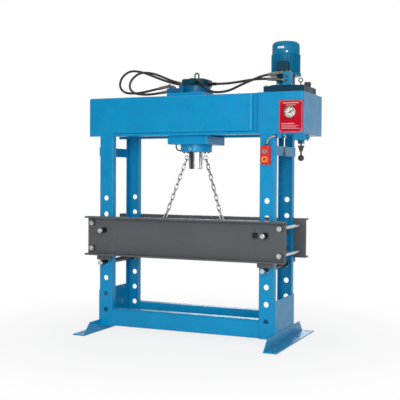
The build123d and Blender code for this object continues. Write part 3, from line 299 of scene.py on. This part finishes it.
BLUE = (0.002, 0.262, 0.525)
SILVER = ((0.62, 0.62, 0.63), 1.0, 0.26)
DARK_STEEL = ((0.07, 0.07, 0.072), 1.0, 0.34)
BLACK_GRIP = ((0.016, 0.016, 0.018), 0.0, 0.45)
KNOB_BLACK = ((0.03, 0.03, 0.028), 0.5, 0.22)
LEVER_GREY = ((0.06, 0.062, 0.058), 0.7, 0.28)
DULL_ZINC = ((0.30, 0.29, 0.26), 1.0, 0.3)
BLUED_STEEL = ((0.02, 0.024, 0.03), 0.6, 0.36)
look = {
    "frame_blue": paint("frame_paint", BLUE, wear=0.22, worn=(0.10, 0.40, 0.62)),
    "motor_blue": paint("motor_paint", (0.001, 0.165, 0.320), roughness=0.38, wear=0.2, peel=0.1,
                        gloss=0.14),
    "lid_blue": paint("lid_paint", (0.003, 0.045, 0.080), roughness=0.4, wear=0.25, peel=0.1,
                      gloss=0.14),
    "valve_blue": paint("valve_paint", (0.002, 0.210, 0.410), roughness=0.34, wear=0.3, peel=0.12),
    "barrel_blue": paint("barrel_paint", (0.002, 0.130, 0.290), roughness=0.34, wear=0.35, peel=0.08),
    "head_dark": paint("head_paint", (0.003, 0.050, 0.072), roughness=0.34, wear=0.2, peel=0.1,
                       gloss=0.16),
    "table_grey": paint("table_paint", (0.098, 0.107, 0.114), roughness=0.46, wear=0.5, peel=0.05,
                        gloss=0.15,
                        worn=(0.30, 0.30, 0.30)),
    "seam_grey": paint("seam_paint", (0.150, 0.158, 0.164), roughness=0.46, wear=0.5, peel=0.1,
                       gloss=0.15,
                       worn=(0.30, 0.30, 0.30)),
    "panel_red": paint("panel_paint", (0.46, 0.001, 0.012), roughness=0.3, wear=0.15, peel=0.02,
                       gloss=0.12),
    "box_red": paint("box_paint", (0.66, 0.020, 0.024), roughness=0.32, wear=0.25, peel=0.05),
    "black_paint": paint("black_paint", (0.012, 0.012, 0.014), roughness=0.38, wear=0.3,
                         worn=(0.12, 0.12, 0.12)),
    "cast_iron": paint("iron_skin", (0.07, 0.07, 0.073), roughness=0.55, wear=0.4, peel=0.3),
    "bare_steel": steel("bare_steel_look", (0.60, 0.60, 0.61), 0.30),
    "pin_steel": steel("pin_steel_look", (0.10, 0.10, 0.103), 0.34, stretch=(1, 0.15, 1)),
    "nut_steel": steel("nut_steel_look", (0.66, 0.66, 0.66), 0.26, grain=420.0),
    "chain_steel": steel("chain_steel_look", (0.50, 0.50, 0.51), 0.26, stains=0.5),
    "brass": steel("brass_look", (0.66, 0.47, 0.20), 0.28, grain=320.0, stain=(0.25, 0.16, 0.06)),
    "olive_zinc": steel("olive_zinc_look", (0.24, 0.25, 0.21), 0.34, grain=340.0, stains=0.5),
    "ram_chrome": reflection_banded_chrome("ram_chrome_painted_reflection_look"),
    "case_chrome": steel("case_chrome_look", (0.52, 0.52, 0.50), 0.28, grain=200.0, stains=0.2),
    "black_plastic": plastic("black_plastic_look", (0.014, 0.014, 0.016)),
    "button_green": plastic("button_green_look", (0.15, 0.22, 0.16), 0.34),
    "button_red": plastic("button_red_look", (0.50, 0.012, 0.014), 0.3),
    "ring_yellow": plastic("ring_yellow_look", (0.86, 0.42, 0.015), 0.34),
    "print_pale": plastic("print_pale_look", (0.62, 0.30, 0.32), 0.4, 300.0, 0.03),
    "dial_white": plastic("dial_white_look", (0.86, 0.83, 0.72), 0.4, 300.0, 0.03),
    "dial_black": plastic("dial_black_look", (0.02, 0.02, 0.02), 0.45, 300.0, 0.03),
    "bezel": steel("bezel_look", (0.50, 0.50, 0.50), 0.3, grain=500.0),
    "plate_pale": plastic("plate_pale_look", (0.70, 0.80, 0.86), 0.4, 500.0, 0.04),
    "tie_rod": banded_steel("tie_rod_washer_shade_look", 0.271, 0.2756),
    "conduit": ribbed_conduit("conduit_painted_highlight_look"),
    "lock_pin": two_tone("lock_pin_look", "Y", -0.334, SILVER, DARK_STEEL),
    "support_pin": two_tone("support_pin_look", "Y", -0.335, SILVER, DARK_STEEL),
    "release": two_tone("release_look", "Z", 1.497, BLACK_GRIP, SILVER),
    "control": two_tone("control_look", "Z", 1.455, KNOB_BLACK, LEVER_GREY),
    "side_fittings": two_tone("side_fittings_look", "X", 0.0, DULL_ZINC, BLUED_STEEL),
    "hose": hose_rubber(),
}


def glass_look():
    s = Shader("lens_look")
    rough = s.span(s.noise(80.0, 3.0), 0.3, 0.7, 0.0, 0.04)
    return s.finish(Base_Color=(0.97, 0.98, 0.99), Roughness=rough, Transmission_Weight=1.0, IOR=1.2,
                    Normal=s.bump(s.noise(20.0, 2.0), 0.01))


look["glass"] = glass_look()


# Mesh helpers
def add_piece(name, mesh, material, body=None, smooth=False, bevel=0.0):
    obj = bpy.data.objects.new(name, mesh)
    scene.collection.objects.link(obj)
    mesh.materials.append(look[material])
    if smooth:
        mesh.shade_smooth()
    if bevel:
        rounding = obj.modifiers.new("rounding", "BEVEL")
        rounding.width = bevel
        rounding.segments = 2
        rounding.limit_method = "ANGLE"
    if body:
        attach(obj, body)
    return obj


def new_mesh(name, build):
    """A mesh made by one function that fills a bmesh."""
    work = bmesh.new()
    build(work)
    mesh = bpy.data.meshes.new(name)
    work.normal_update()
    work.to_mesh(mesh)
    work.free()
    return mesh


def frame_at(place, direction):
    """A matrix with its Z axis along a direction."""
    quaternion = Vector(direction).to_track_quat("Z", "Y")
    return Matrix.Translation(place) @ quaternion.to_matrix().to_4x4()


def lathe(work, place, direction, profile, sides=32):
    """A closed turned solid: profile is (radius, height) pairs from the axis and back to it."""
    at = frame_at(place, direction)
    rows = []
    for radius, height in profile:
        if radius <= 0:
            rows.append([work.verts.new(at @ Vector((0, 0, height)))])
            continue
        row = []
        for index in range(sides):
            angle = 2 * math.pi * index / sides
            point = Vector((radius * math.cos(angle), radius * math.sin(angle), height))
            row.append(work.verts.new(at @ point))
        rows.append(row)
    for low, high in zip(rows, rows[1:]):
        for index in range(sides):
            after = (index + 1) % sides
            around = (low[index % len(low)], low[after % len(low)],
                      high[after % len(high)], high[index % len(high)])
            corners = []
            for vertex in around:
                if vertex not in corners:
                    corners.append(vertex)
            if len(corners) > 2:
                work.faces.new(corners)


def block(work, low, high):
    """A box between two corners in millimetres."""
    made = bmesh.ops.create_cube(work, size=1.0)
    size = mm(*high) - mm(*low)
    middle = (mm(*high) + mm(*low)) / 2
    bmesh.ops.scale(work, vec=size, verts=made["verts"])
    bmesh.ops.translate(work, vec=middle, verts=made["verts"])


def cap_screw(work, place, direction, radius):
    """A socket-head screw: round head with a rounded rim and a six-sided socket."""
    r = radius
    head = [(0, 0), (r, 0), (r, 0.75 * r), (0.9 * r, 0.95 * r), (0.6 * r, 0.95 * r)]
    socket = [(0.6 * r, 0.95 * r), (0.52 * r, 0.95 * r), (0.52 * r, 0.4 * r), (0, 0.4 * r)]
    lathe(work, place, direction, head, 18)
    lathe(work, place, direction, socket, 6)


def hex_screw(work, place, direction, radius):
    """A hexagon-head screw on a thin washer."""
    r = radius
    lathe(work, place, direction, [(0, 0), (1.35 * r, 0), (1.35 * r, 0.2 * r), (0, 0.2 * r)], 20)
    lathe(work, place, direction, [(r, 0.2 * r), (r, 0.8 * r), (0.84 * r, r), (0, r)], 6)


def screws(name, kind, places, direction, radius, material, body):
    """A set of equal screws as one piece."""
    def build(work):
        for place in places:
            kind(work, place, direction, radius)
    return add_piece(name, new_mesh(name, build), material, body)


def circle_places(middle, radius, count, start=0.0):
    """Points in millimetres on a level circle."""
    places = []
    for index in range(count):
        angle = math.radians(start) + 2 * math.pi * index / count
        x = middle[0] + radius * math.cos(angle)
        y = middle[1] + radius * math.sin(angle)
        places.append(mm(x, y, middle[2]))
    return places


def grid_places(xs, ys, zs):
    """Points in millimetres at every crossing of the given places."""
    return [mm(x, y, z) for x in xs for y in ys for z in zs]


# Hoses: the routes repeat the CAD tubes' points, in millimetres
HOSE_RADIUS = 9.5
HOSE_SIDES = 20
ROUTES = {
    "supply_hose_front": [
        (690, -165, 2050), (621, -161, 2044), (533, -150, 2016), (434, -134, 1984), (338, -129, 1943),
        (262, -131, 1932), (196, -134, 1934), (140, -134, 1964), (92, -128, 2002),
    ],
    "supply_hose_rear": [
        (674, -140, 2016), (592, -128, 2024), (490, -106, 2020), (374, -80, 2010), (256, -54, 2005),
        (158, -36, 2010),
    ],
    "loop_hose_inner": [
        (-144, 12, 2030), (-228, 12, 2053), (-318, 12, 2092), (-410, 12, 2126), (-518, 10, 2136),
        (-582, -23, 2081), (-582, -71, 2004), (-518, -104, 1950), (-428, -107, 1937), (-334, -97, 1939),
        (-244, -84, 1954),
    ],
    "loop_hose_outer": [
        (-144, 44, 2020), (-236, 43, 2038), (-336, 42, 2072), (-434, 42, 2111), (-530, 42, 2146),
        (-636, 42, 2158), (-699, 15, 2101), (-699, -23, 2021), (-636, -50, 1964), (-548, -52, 1955),
        (-462, -54, 1961), (-374, -56, 1976), (-286, -56, 1992),
    ],
}


def spline_points(name, route):
    """Points along a smooth spline whose control points are the route's."""
    data = bpy.data.curves.new(name + "_line", "CURVE")
    data.dimensions = "3D"
    data.resolution_u = 12
    line = data.splines.new("NURBS")
    line.points.add(len(route) - 1)
    for point, place in zip(line.points, route):
        point.co = (*mm(*place), 1.0)
    line.order_u = 3
    line.use_endpoint_u = True
    carrier = bpy.data.objects.new(name + "_line", data)
    scene.collection.objects.link(carrier)
    bpy.context.view_layer.update()
    mesh = bpy.data.meshes.new_from_object(carrier)
    points = [vertex.co.copy() for vertex in mesh.vertices]
    bpy.data.objects.remove(carrier)
    bpy.data.meshes.remove(mesh)
    return points


def tube_mesh(name, points, radius, sides):
    """A closed round tube along points, with its length and girth as texture coordinates."""
    mesh = bpy.data.meshes.new(name)
    work = bmesh.new()
    layer = work.loops.layers.uv.new("UVMap")
    across = Vector((0, 0, 1))
    rows = []
    travel = [0.0]
    for index, point in enumerate(points):
        before = points[max(index - 1, 0)]
        after = points[min(index + 1, len(points) - 1)]
        along = (after - before).normalized()
        across = (across - along * across.dot(along)).normalized()
        other = along.cross(across)
        row = []
        for side in range(sides):
            angle = 2 * math.pi * side / sides
            outward = across * math.cos(angle) + other * math.sin(angle)
            row.append(work.verts.new(point + outward * radius))
        rows.append(row)
        if index:
            travel.append(travel[-1] + (point - before).length)
    for index in range(len(rows) - 1):
        near, far = rows[index], rows[index + 1]
        for side in range(sides):
            after = (side + 1) % sides
            face = work.faces.new((near[side], near[after], far[after], far[side]))
            face.smooth = True
            ends = (travel[index], travel[index], travel[index + 1], travel[index + 1])
            girths = (side, side + 1, side + 1, side)
            for loop, end, girth in zip(face.loops, ends, girths):
                loop[layer].uv = (end / (2 * math.pi * radius), girth / sides)
    work.faces.new(reversed(rows[0]))
    work.faces.new(rows[-1])
    work.to_mesh(mesh)
    work.free()
    return mesh, travel[-1]


for hose_name, route in ROUTES.items():
    points = spline_points(hose_name, route)
    mesh, length = tube_mesh(hose_name + "_cover", points, HOSE_RADIUS * MM, HOSE_SIDES)
    hose = add_piece(hose_name + "_cover", mesh, "hose")
    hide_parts(hose_name)
    if hose_name.startswith("supply"):
        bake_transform(hose)
    else:
        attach(hose, "carriage")

# Materials of the CAD nodes
NODE_LOOKS = {
    "frame_blue": """post_front_left post_front_right post_rear_left post_rear_right foot_left foot_right
        base_beam_front base_beam_rear lower_side_plates upper_straps crosshead_beam_front crosshead_beam_rear
        carriage_rails oil_tank carriage_frame cylinder_gland carriage_top_plate""",
    "valve_blue": "valve_manifold control_valve",
    "barrel_blue": "cylinder_barrel port_block",
    "motor_blue": "bell_housing motor_body motor_fan_cover",
    "lid_blue": "tank_lid terminal_box",
    "head_dark": "cylinder_head",
    "table_grey": "table_channel_front table_channel_rear",
    "panel_red": "gauge_panel",
    "box_red": "switch_box",
    "black_paint": "return_pipe lifting_eye",
    "cast_iron": "pump_body motor_rotor",
    "bare_steel": "chain_eyes",
    "olive_zinc": "manifold_fittings",
    "side_fittings": "carriage_fittings",
    "nut_steel": "chain_bars",
    "tie_rod": "tie_rods",
    "lock_pin": "lock_pin_left lock_pin_right",
    "support_pin": "support_pin_left support_pin_right",
    "release": "release_lever",
    "control": "control_lever",
    "ram_chrome": "ram",
    "case_chrome": "gauge_case",
    "glass": "gauge_lens",
    "black_plastic": "filler_cap",
    "conduit": "switch_conduit",
    "dial_black": "gauge_needle",
    "button_green": "start_button",
    "button_red": "stop_button",
}
for material_name, names in NODE_LOOKS.items():
    for node_name in names.split():
        data = nodes[node_name].data
        data.materials.clear()
        data.materials.append(look[material_name])

# Chains: each CAD chain is split into its lowest link, the shackle round the table's bar,
# and the other links; both parts are attached to the ram
EYE_PLACE = (0.0, 0.0, 1.423)
CHAIN_KEEP = 0.45
RAM_TRAVEL = 0.30
SHACKLE_KEEP = 0.985
WELD_GAP = 0.000001


def split_lowest(mesh):
    """Every link of a chain but the lowest as one mesh, the lowest as another, and its mean height."""
    work = bmesh.new()
    work.from_mesh(mesh)
    bmesh.ops.remove_doubles(work, verts=work.verts, dist=WELD_GAP)
    work.verts.index_update()
    left_over = set(work.verts)
    islands = []
    while left_over:
        island = {left_over.pop()}
        border = list(island)
        while border:
            for edge in border.pop().link_edges:
                for vertex in edge.verts:
                    if vertex in left_over:
                        left_over.remove(vertex)
                        island.add(vertex)
                        border.append(vertex)
        islands.append(island)
    lowest = min(islands, key=lambda island: min(vertex.co.z for vertex in island))
    heights = [vertex.co.z for vertex in work.verts if vertex in lowest]
    middle = sum(heights, 0.0) / len(heights)
    lowest_indices = {vertex.index for vertex in lowest}
    meshes = []
    for drop_lowest in (True, False):
        part = work.copy()
        part.verts.index_update()
        dropped = [vertex for vertex in part.verts if (vertex.index in lowest_indices) == drop_lowest]
        bmesh.ops.delete(part, geom=dropped, context="VERTS")
        made = bpy.data.meshes.new(mesh.name + "_part")
        part.to_mesh(made)
        part.free()
        meshes.append(made)
    work.free()
    return meshes, middle


for side_name in ("left", "right"):
    node = nodes["lift_chain_" + side_name]
    (links_mesh, shackle_mesh), bar_height = split_lowest(node.data)
    shackle_top = bar_height + RAM_TRAVEL / (1 - SHACKLE_KEEP)
    for kind, mesh, height, keep in (("links", links_mesh, EYE_PLACE[2], CHAIN_KEEP),
                                     ("shackle", shackle_mesh, shackle_top, SHACKLE_KEEP)):
        chain = add_piece("chain_" + kind + "_" + side_name, mesh, "chain_steel", smooth=True)
        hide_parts("lift_chain_" + side_name)
        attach(chain, "ram")
        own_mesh(chain)

# Gauge: dial with ticks and numbers
DIAL_MIDDLE = (872.0, -275.0, 1752.0)
DIAL_RADIUS = 34.6
DIAL_START = 225.0
DIAL_SWEEP = 270.0
TICKS = 40
MARK_LIFT = 0.9


def dial_point(angle, radius, lift):
    turned = math.radians(angle)
    x, y, z = DIAL_MIDDLE
    return mm(x + radius * math.cos(turned), y - lift, z + radius * math.sin(turned))


def dial_disc(work):
    rim, thickness = DIAL_RADIUS * MM, 0.0006
    lathe(work, mm(*DIAL_MIDDLE), FRONT, [(0, 0), (rim, 0), (rim, thickness), (0, thickness)], 48)


def dial_ticks(work):
    outer = DIAL_RADIUS - 2
    for step in range(TICKS + 1):
        angle = DIAL_START - DIAL_SWEEP * step / TICKS
        long_tick = step % 5 == 0
        inner = DIAL_RADIUS - (9.0 if long_tick else 5.5)
        half = 1.6 if long_tick else 0.8
        corners = []
        for spread, radius in ((-half, inner), (half, inner), (half, outer), (-half, outer)):
            corners.append(work.verts.new(dial_point(angle + spread * 30 / radius, radius, MARK_LIFT)))
        work.faces.new(corners)


add_piece("gauge_dial", new_mesh("gauge_dial", dial_disc), "dial_white", "frame")
add_piece("gauge_ticks", new_mesh("gauge_ticks", dial_ticks), "dial_black", "frame")
for step, number in enumerate(("0", "100", "200", "300", "400")):
    words = bpy.data.curves.new("gauge_number_" + number, "FONT")
    words.body = number
    words.size = 0.0075
    words.align_x = "CENTER"
    words.align_y = "CENTER"
    words.extrude = 0.0001
    text = bpy.data.objects.new("gauge_number_" + number, words)
    scene.collection.objects.link(text)
    text.location = dial_point(DIAL_START - DIAL_SWEEP * step / 4, DIAL_RADIUS - 14.0, MARK_LIFT)
    text.rotation_euler = (math.pi / 2, 0, 0)
    words.materials.append(look["dial_black"])
    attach(text, "frame")

# Panel print: a pale border and plain bars, with no words
PANEL = (782.0, 964.0, 1602.0, 1843.0)
PANEL_FACE = -267.0
PRINT_LIFT = 0.5
# Each bar: its start and end from the panel's left edge, its height from the lower edge, its width
PANEL_BARS = (
    (30, 152, 214, 9), (55, 127, 200, 5), (20, 120, 62, 7),
    (20, 150, 48, 4), (20, 132, 38, 4), (20, 160, 28, 4),
)


def panel_print(work):
    left, right, bottom, top = PANEL
    face = (PANEL_FACE - PRINT_LIFT, PANEL_FACE)
    inset, line = 5.0, 2.2
    block(work, (left + inset, face[0], bottom + inset), (right - inset, face[1], bottom + inset + line))
    block(work, (left + inset, face[0], top - inset - line), (right - inset, face[1], top - inset))
    for x in (left + inset, right - inset - line):
        block(work, (x, face[0], bottom + inset + line), (x + line, face[1], top - inset - line))
    for start, end, low, height in PANEL_BARS:
        block(work, (left + start, face[0], bottom + low), (left + end, face[1], bottom + low + height))


add_piece("panel_print", new_mesh("panel_print", panel_print), "print_pale", "frame")
panel_corners = grid_places((796, 950), (PANEL_FACE,), (1616, 1829))
screws("panel_rivets", cap_screw, panel_corners, FRONT, 0.0035, "bezel", "frame")


# Welds: rippled beads along the joints
def weld(name, ends, radius, body="frame", material="frame_blue"):
    """Beads along straight seams; each seam is a pair of points in millimetres."""
    def build(work):
        for start, end in ends:
            start, end = mm(*start), mm(*end)
            along = (end - start).normalized()
            steps = max(6, int((end - start).length / (radius * MM * 0.9)))
            profile = [(0, 0)]
            for step in range(steps + 1):
                ripple = 0.86 + 0.14 * math.cos(step * math.pi)
                taper = min(1.0, 0.55 + step * 0.25, 0.55 + (steps - step) * 0.25)
                profile.append((radius * MM * ripple * taper, (end - start).length * step / steps))
            profile.append((0, (end - start).length))
            lathe(work, start, along, profile, 8)
    return add_piece(name, new_mesh(name, build), material, body, smooth=True)


post_seams = []
for side in (-1, 1):
    post_seams.append(((side * 629, -250, 72), (side * 629, -250, 174)))
    for y in (-1, 1):
        post_seams.append(((side * 629, y * 232, 194), (side * 629, y * 200, 194)))
weld("weld_base_beams", post_seams, 3.0)
crosshead_seams = []
for y in (-1, 1):
    crosshead_seams.append(((-747, y * 251, 1594), (-631, y * 251, 1594)))
    crosshead_seams.append(((608, y * 229, 1616), (608, y * 229, 1900)))
    crosshead_seams.append(((631, y * 251, 1594), (747, y * 251, 1594)))
weld("weld_crosshead", crosshead_seams, 3.0)
plate_seams = []
for side in (-1, 1):
    for y in (-1, 1):
        plate_seams.append(((side * 750, y * 244, 99), (side * 750, y * 244, 336)))
        plate_seams.append(((side * 750, y * 244, 1438), (side * 750, y * 244, 1503)))
weld("weld_side_plates", plate_seams, 2.6)
foot_seams = []
for side in (-1, 1):
    foot_seams.append(((side * 757, -240, 95), (side * 757, 240, 95)))
weld("weld_feet", foot_seams, 3.0)
table_seams = []
for y in (-1, 1):
    for side in (-1, 1):
        table_seams.append(((side * 610, y * 264, 650), (side * 610, y * 264, 925)))
        table_seams.append(((side * 628, y * 293, 630), (side * 628, y * 256, 630)))
weld("weld_table", table_seams, 4.5, "table", "seam_grey")

# Screws and bolts: name, kind, places, direction, radius, material and body
MOTOR_AXIS = (744, 10)
COVER_RADIUS = 106
COVER_SCREW_ANGLE = -1.2
cover_outward = (math.cos(COVER_SCREW_ANGLE), math.sin(COVER_SCREW_ANGLE), 0)
cover_place = mm(MOTOR_AXIS[0] + COVER_RADIUS * cover_outward[0],
                 MOTOR_AXIS[1] + COVER_RADIUS * cover_outward[1], 2228)
SCREW_SETS = (
    ("head_screws", cap_screw, grid_places((-72, 72), (-72, 72), (2045,)), UP, 0.010,
     "pin_steel", "carriage"),
    ("gland_screws", cap_screw, circle_places((0, 0, 1470), 98, 8, 22.5), DOWN, 0.009,
     "pin_steel", "carriage"),
    ("top_plate_screws", hex_screw, grid_places((-142, 128), (-190, 190), (1931,)), UP, 0.011,
     "barrel_blue", "carriage"),
    ("lid_screws", hex_screw, grid_places((640, 926), (-145, 145), (1962,)), UP, 0.008,
     "nut_steel", "frame"),
    ("bell_screws", hex_screw, circle_places((*MOTOR_AXIS, 1976), 106, 6, 15), UP, 0.008,
     "nut_steel", "frame"),
    ("terminal_screws", cap_screw, grid_places((732, 792), (-158,), (2082, 2138)), FRONT, 0.0035,
     "pin_steel", "frame"),
    ("box_screws", cap_screw, grid_places((659, 711), (-302,), (1382, 1498)), FRONT, 0.003,
     "bezel", "frame"),
    ("valve_screws", cap_screw, grid_places((898, 974), (-240, -170), (1550,)), DOWN, 0.006,
     "pin_steel", "frame"),
    ("release_cap", cap_screw, [mm(825, -266.5, 1572)], FRONT, 0.008, "pin_steel", "release_lever"),
    ("gland_plug", hex_screw, [mm(0, -128, 1496)], FRONT, 0.010, "nut_steel", "carriage"),
    ("manifold_caps", hex_screw, grid_places((814,), (-198,), (1995, 2028)), FRONT, 0.008,
     "pin_steel", "frame"),
    ("manifold_plugs", hex_screw, grid_places((800, 828), (-156,), (2061,)), UP, 0.009,
     "brass", "frame"),
    ("cover_screws", hex_screw, [cover_place], cover_outward, 0.005, "nut_steel", "frame"),
)
for screw_set in SCREW_SETS:
    screws(*screw_set)


# Rings round the buttons and the lock pins, and the conduit's two nuts
def ring_piece(name, place, direction, inner, outer, height, material, body="frame"):
    """A flat ring with a rounded rim; sizes in millimetres."""
    profile = [(inner, 0), (outer, 0), (outer, 0.6 * height), (outer - 0.3 * height, height),
               (inner, height), (inner, 0)]

    def build(work):
        lathe(work, mm(*place), direction, [(r * MM, h * MM) for r, h in profile], 40)
    return add_piece(name, new_mesh(name, build), material, body)


ring_piece("start_button_ring", (685, -302, 1463), FRONT, 13.8, 18.0, 4.0, "bezel")
ring_piece("stop_button_ring", (685, -302, 1404), FRONT, 13.8, 22.0, 4.0, "ring_yellow")
# Painted shade: the black rings round the lock pins stand in for the shadow round each pin's bush
for name, x in (("lock_shade_ring_left", -689), ("lock_shade_ring_right", 689)):
    ring_piece(name, (x, -282.5, 834), FRONT, 15.5, 25.0, 4.0, "black_paint", "table")
ring_piece("conduit_nut_low", (697, -284, 1507), UP, 8.4, 15.0, 12.0, "black_plastic")
ring_piece("conduit_nut_high", (772, -262, 1576), (-1, 0, 0), 8.4, 14.0, 12.0, "black_plastic")


# Black block of painted shade beside the right lock pin, standing in for a dark shaded patch on the table's
# face
def shade_block_build(work):
    block(work, (586, -283, 813), (626, -271.5, 855))


add_piece("painted_shade_block", new_mesh("painted_shade_block", shade_block_build), "black_paint", "table", bevel=0.003)


# Rod threads on the tie rods' outer ends
def thread_build(work):
    for x in (-801, 801):
        for z in (686, 889):
            for side in (-1, 1):
                profile = [(0, 0)]
                for step in range(13):
                    profile.append(((12.5 if step % 2 else 11.7) * MM, step * 0.95 * MM))
                profile.append((9.8 * MM, 13.0 * MM))
                profile.append((0, 13.0 * MM))
                lathe(work, mm(x, side * 295.5, z), (0, side, 0), profile, 24)


add_piece("tie_rod_threads", new_mesh("tie_rod_threads", thread_build), "bare_steel", "table")


# Crimped sleeves at the hose ends
def crimp_build(ends):
    def build(work):
        for end, after in ends:
            outward = (mm(*after) - mm(*end)).normalized()
            profile = [(9.7, -1.0), (13.4, -1.0)]
            for step in range(4):
                groove = 6.0 * step
                profile += [(13.4, 1.0 + groove), (12.4, 2.2 + groove),
                            (12.4, 4.4 + groove), (13.4, 5.6 + groove)]
            profile += [(13.0, 26.5), (9.7, 26.5)]
            lathe(work, mm(*end), outward, [(r * MM, h * MM) for r, h in profile], 24)
    return build


frame_ends = [(ROUTES[name][0], ROUTES[name][1]) for name in ("supply_hose_front", "supply_hose_rear")]
right_ends = [(ROUTES[name][-1], ROUTES[name][-2]) for name in ("supply_hose_front", "supply_hose_rear")]
left_ends = []
for name in ("loop_hose_inner", "loop_hose_outer"):
    left_ends += [(ROUTES[name][0], ROUTES[name][1]), (ROUTES[name][-1], ROUTES[name][-2])]
add_piece("frame_crimps", new_mesh("frame_crimps", crimp_build(frame_ends)), "olive_zinc", "frame")
add_piece("right_crimps", new_mesh("right_crimps", crimp_build(right_ends)), "black_paint", "carriage")
add_piece("left_crimps", new_mesh("left_crimps", crimp_build(left_ends)), "olive_zinc", "carriage")


# Blank rating plate, bent round the motor's fan cover
def plate_build(work):
    low, high, start, end, steps = 2252.0, 2267.0, -108.0, -80.0, 8
    grid = []
    for step in range(steps + 1):
        angle = math.radians(start + (end - start) * step / steps)
        column = []
        for radius in (106.2, 107.2):
            for z in (low, high):
                x = MOTOR_AXIS[0] + radius * math.cos(angle)
                y = MOTOR_AXIS[1] + radius * math.sin(angle)
                column.append(work.verts.new(mm(x, y, z)))
        grid.append(column)
    for one, two in zip(grid, grid[1:]):
        for a, b in ((2, 3), (3, 1), (1, 0), (0, 2)):
            work.faces.new((one[a], two[a], two[b], one[b]))
    work.faces.new((grid[0][0], grid[0][2], grid[0][3], grid[0][1]))
    work.faces.new((grid[-1][1], grid[-1][3], grid[-1][2], grid[-1][0]))
    bmesh.ops.recalc_face_normals(work, faces=work.faces)


add_piece("motor_plate", new_mesh("motor_plate", plate_build), "plate_pale", "frame")

# Floor, light and background
FLOOR_SIZE = 60.0
AMBIENT_STRENGTH = 0.34


def floor_look():
    """Pale matte floor that fades to the white background away from the press."""
    s = Shader("floor_look")
    tone = s.mix(s.span(s.noise(0.6, 2.0), 0.3, 0.7), (0.86, 0.86, 0.86), (0.88, 0.88, 0.88))
    matte = s.add("BsdfDiffuse")
    s.link(tone, matte.inputs["Color"])
    glow = s.add("Emission")
    glow.inputs["Strength"].default_value = 1.0
    path = s.add("LightPath")
    seen = s.math("MAXIMUM", path.outputs["Is Camera Ray"],
                  s.math("MAXIMUM", path.outputs["Is Glossy Ray"], path.outputs["Is Transmission Ray"]))
    reach = s.add("VectorMath", operation="LENGTH")
    s.link(s.place(), reach.inputs[0])
    away = s.span(reach.outputs["Value"], 1.0, 2.4, 0.80, 1.0)
    blend = s.add("MixShader")
    s.link(s.math("MULTIPLY", seen, away), blend.inputs["Fac"])
    s.link(matte.outputs["BSDF"], blend.inputs[1])
    s.link(glow.outputs["Emission"], blend.inputs[2])
    s.link(blend.outputs["Shader"], s.output.inputs["Surface"])
    return s.material


look["floor"] = floor_look()


def floor_build(work):
    bmesh.ops.create_grid(work, x_segments=2, y_segments=2, size=FLOOR_SIZE / 2)


floor = add_piece("floor", new_mesh("floor", floor_build), "floor")

world = bpy.data.worlds.new("studio")
scene.world = world
world.use_nodes = True
tree = world.node_tree
tree.nodes.clear()
out = tree.nodes.new("ShaderNodeOutputWorld")
ambient = tree.nodes.new("ShaderNodeBackground")
ambient.inputs["Color"].default_value = (1.0, 1.0, 1.0, 1.0)
ambient.inputs["Strength"].default_value = AMBIENT_STRENGTH
backdrop = tree.nodes.new("ShaderNodeBackground")
backdrop.inputs["Color"].default_value = (1.0, 1.0, 1.0, 1.0)
light_path = tree.nodes.new("ShaderNodeLightPath")


def world_math(operation, a, b):
    node = tree.nodes.new("ShaderNodeMath")
    node.operation = operation
    for socket, value in zip(node.inputs, (a, b)):
        if isinstance(value, float):
            socket.default_value = value
        else:
            tree.links.new(value, socket)
    return node.outputs["Value"]


# Reflections see the white background behind the press and a dimmer room in front of it
direction = tree.nodes.new("ShaderNodeTexCoord")
parts = tree.nodes.new("ShaderNodeSeparateXYZ")
tree.links.new(direction.outputs["Generated"], parts.inputs["Vector"])
dim = tree.nodes.new("ShaderNodeMapRange")
dim.inputs["From Min"].default_value = -0.2
dim.inputs["From Max"].default_value = -0.7
dim.inputs["To Min"].default_value = 0.0
dim.inputs["To Max"].default_value = 0.8
tree.links.new(parts.outputs["Y"], dim.inputs["Value"])
glossy = light_path.outputs["Is Glossy Ray"]
tree.links.new(world_math("SUBTRACT", 1.0, world_math("MULTIPLY", glossy, dim.outputs["Result"])),
               backdrop.inputs["Strength"])
seen = world_math("MAXIMUM", light_path.outputs["Is Camera Ray"], glossy)
seen = world_math("MAXIMUM", seen, light_path.outputs["Is Transmission Ray"])
choose = tree.nodes.new("ShaderNodeMixShader")
tree.links.new(seen, choose.inputs["Fac"])
tree.links.new(ambient.outputs["Background"], choose.inputs[1])
tree.links.new(backdrop.outputs["Background"], choose.inputs[2])
tree.links.new(choose.outputs["Shader"], out.inputs["Surface"])


def softbox(name, place, target, size, power):
    """A large square lamp that faces a target."""
    data = bpy.data.lights.new(name, "AREA")
    data.shape = "SQUARE"
    data.size = size
    data.energy = power
    lamp = bpy.data.objects.new(name, data)
    scene.collection.objects.link(lamp)
    lamp.location = place
    lamp.rotation_euler = (Vector(target) - Vector(place)).to_track_quat("-Z", "Y").to_euler()


softbox("key_light", (1.7, -6.4, 2.0), (0, 0, 1.0), 2.6, 205.0)
softbox("side_light", (4.6, -4.4, 2.4), (0.4, 0, 1.1), 3.0, 75.0)
softbox("top_light", (0.0, 0.5, 6.0), (0, 0, 1.5), 3.5, 50.0)
softbox("back_light", (-1.6, 6.4, 2.8), (0, 0, 1.0), 3.0, 80.0)

scene.view_settings.view_transform = "Standard"
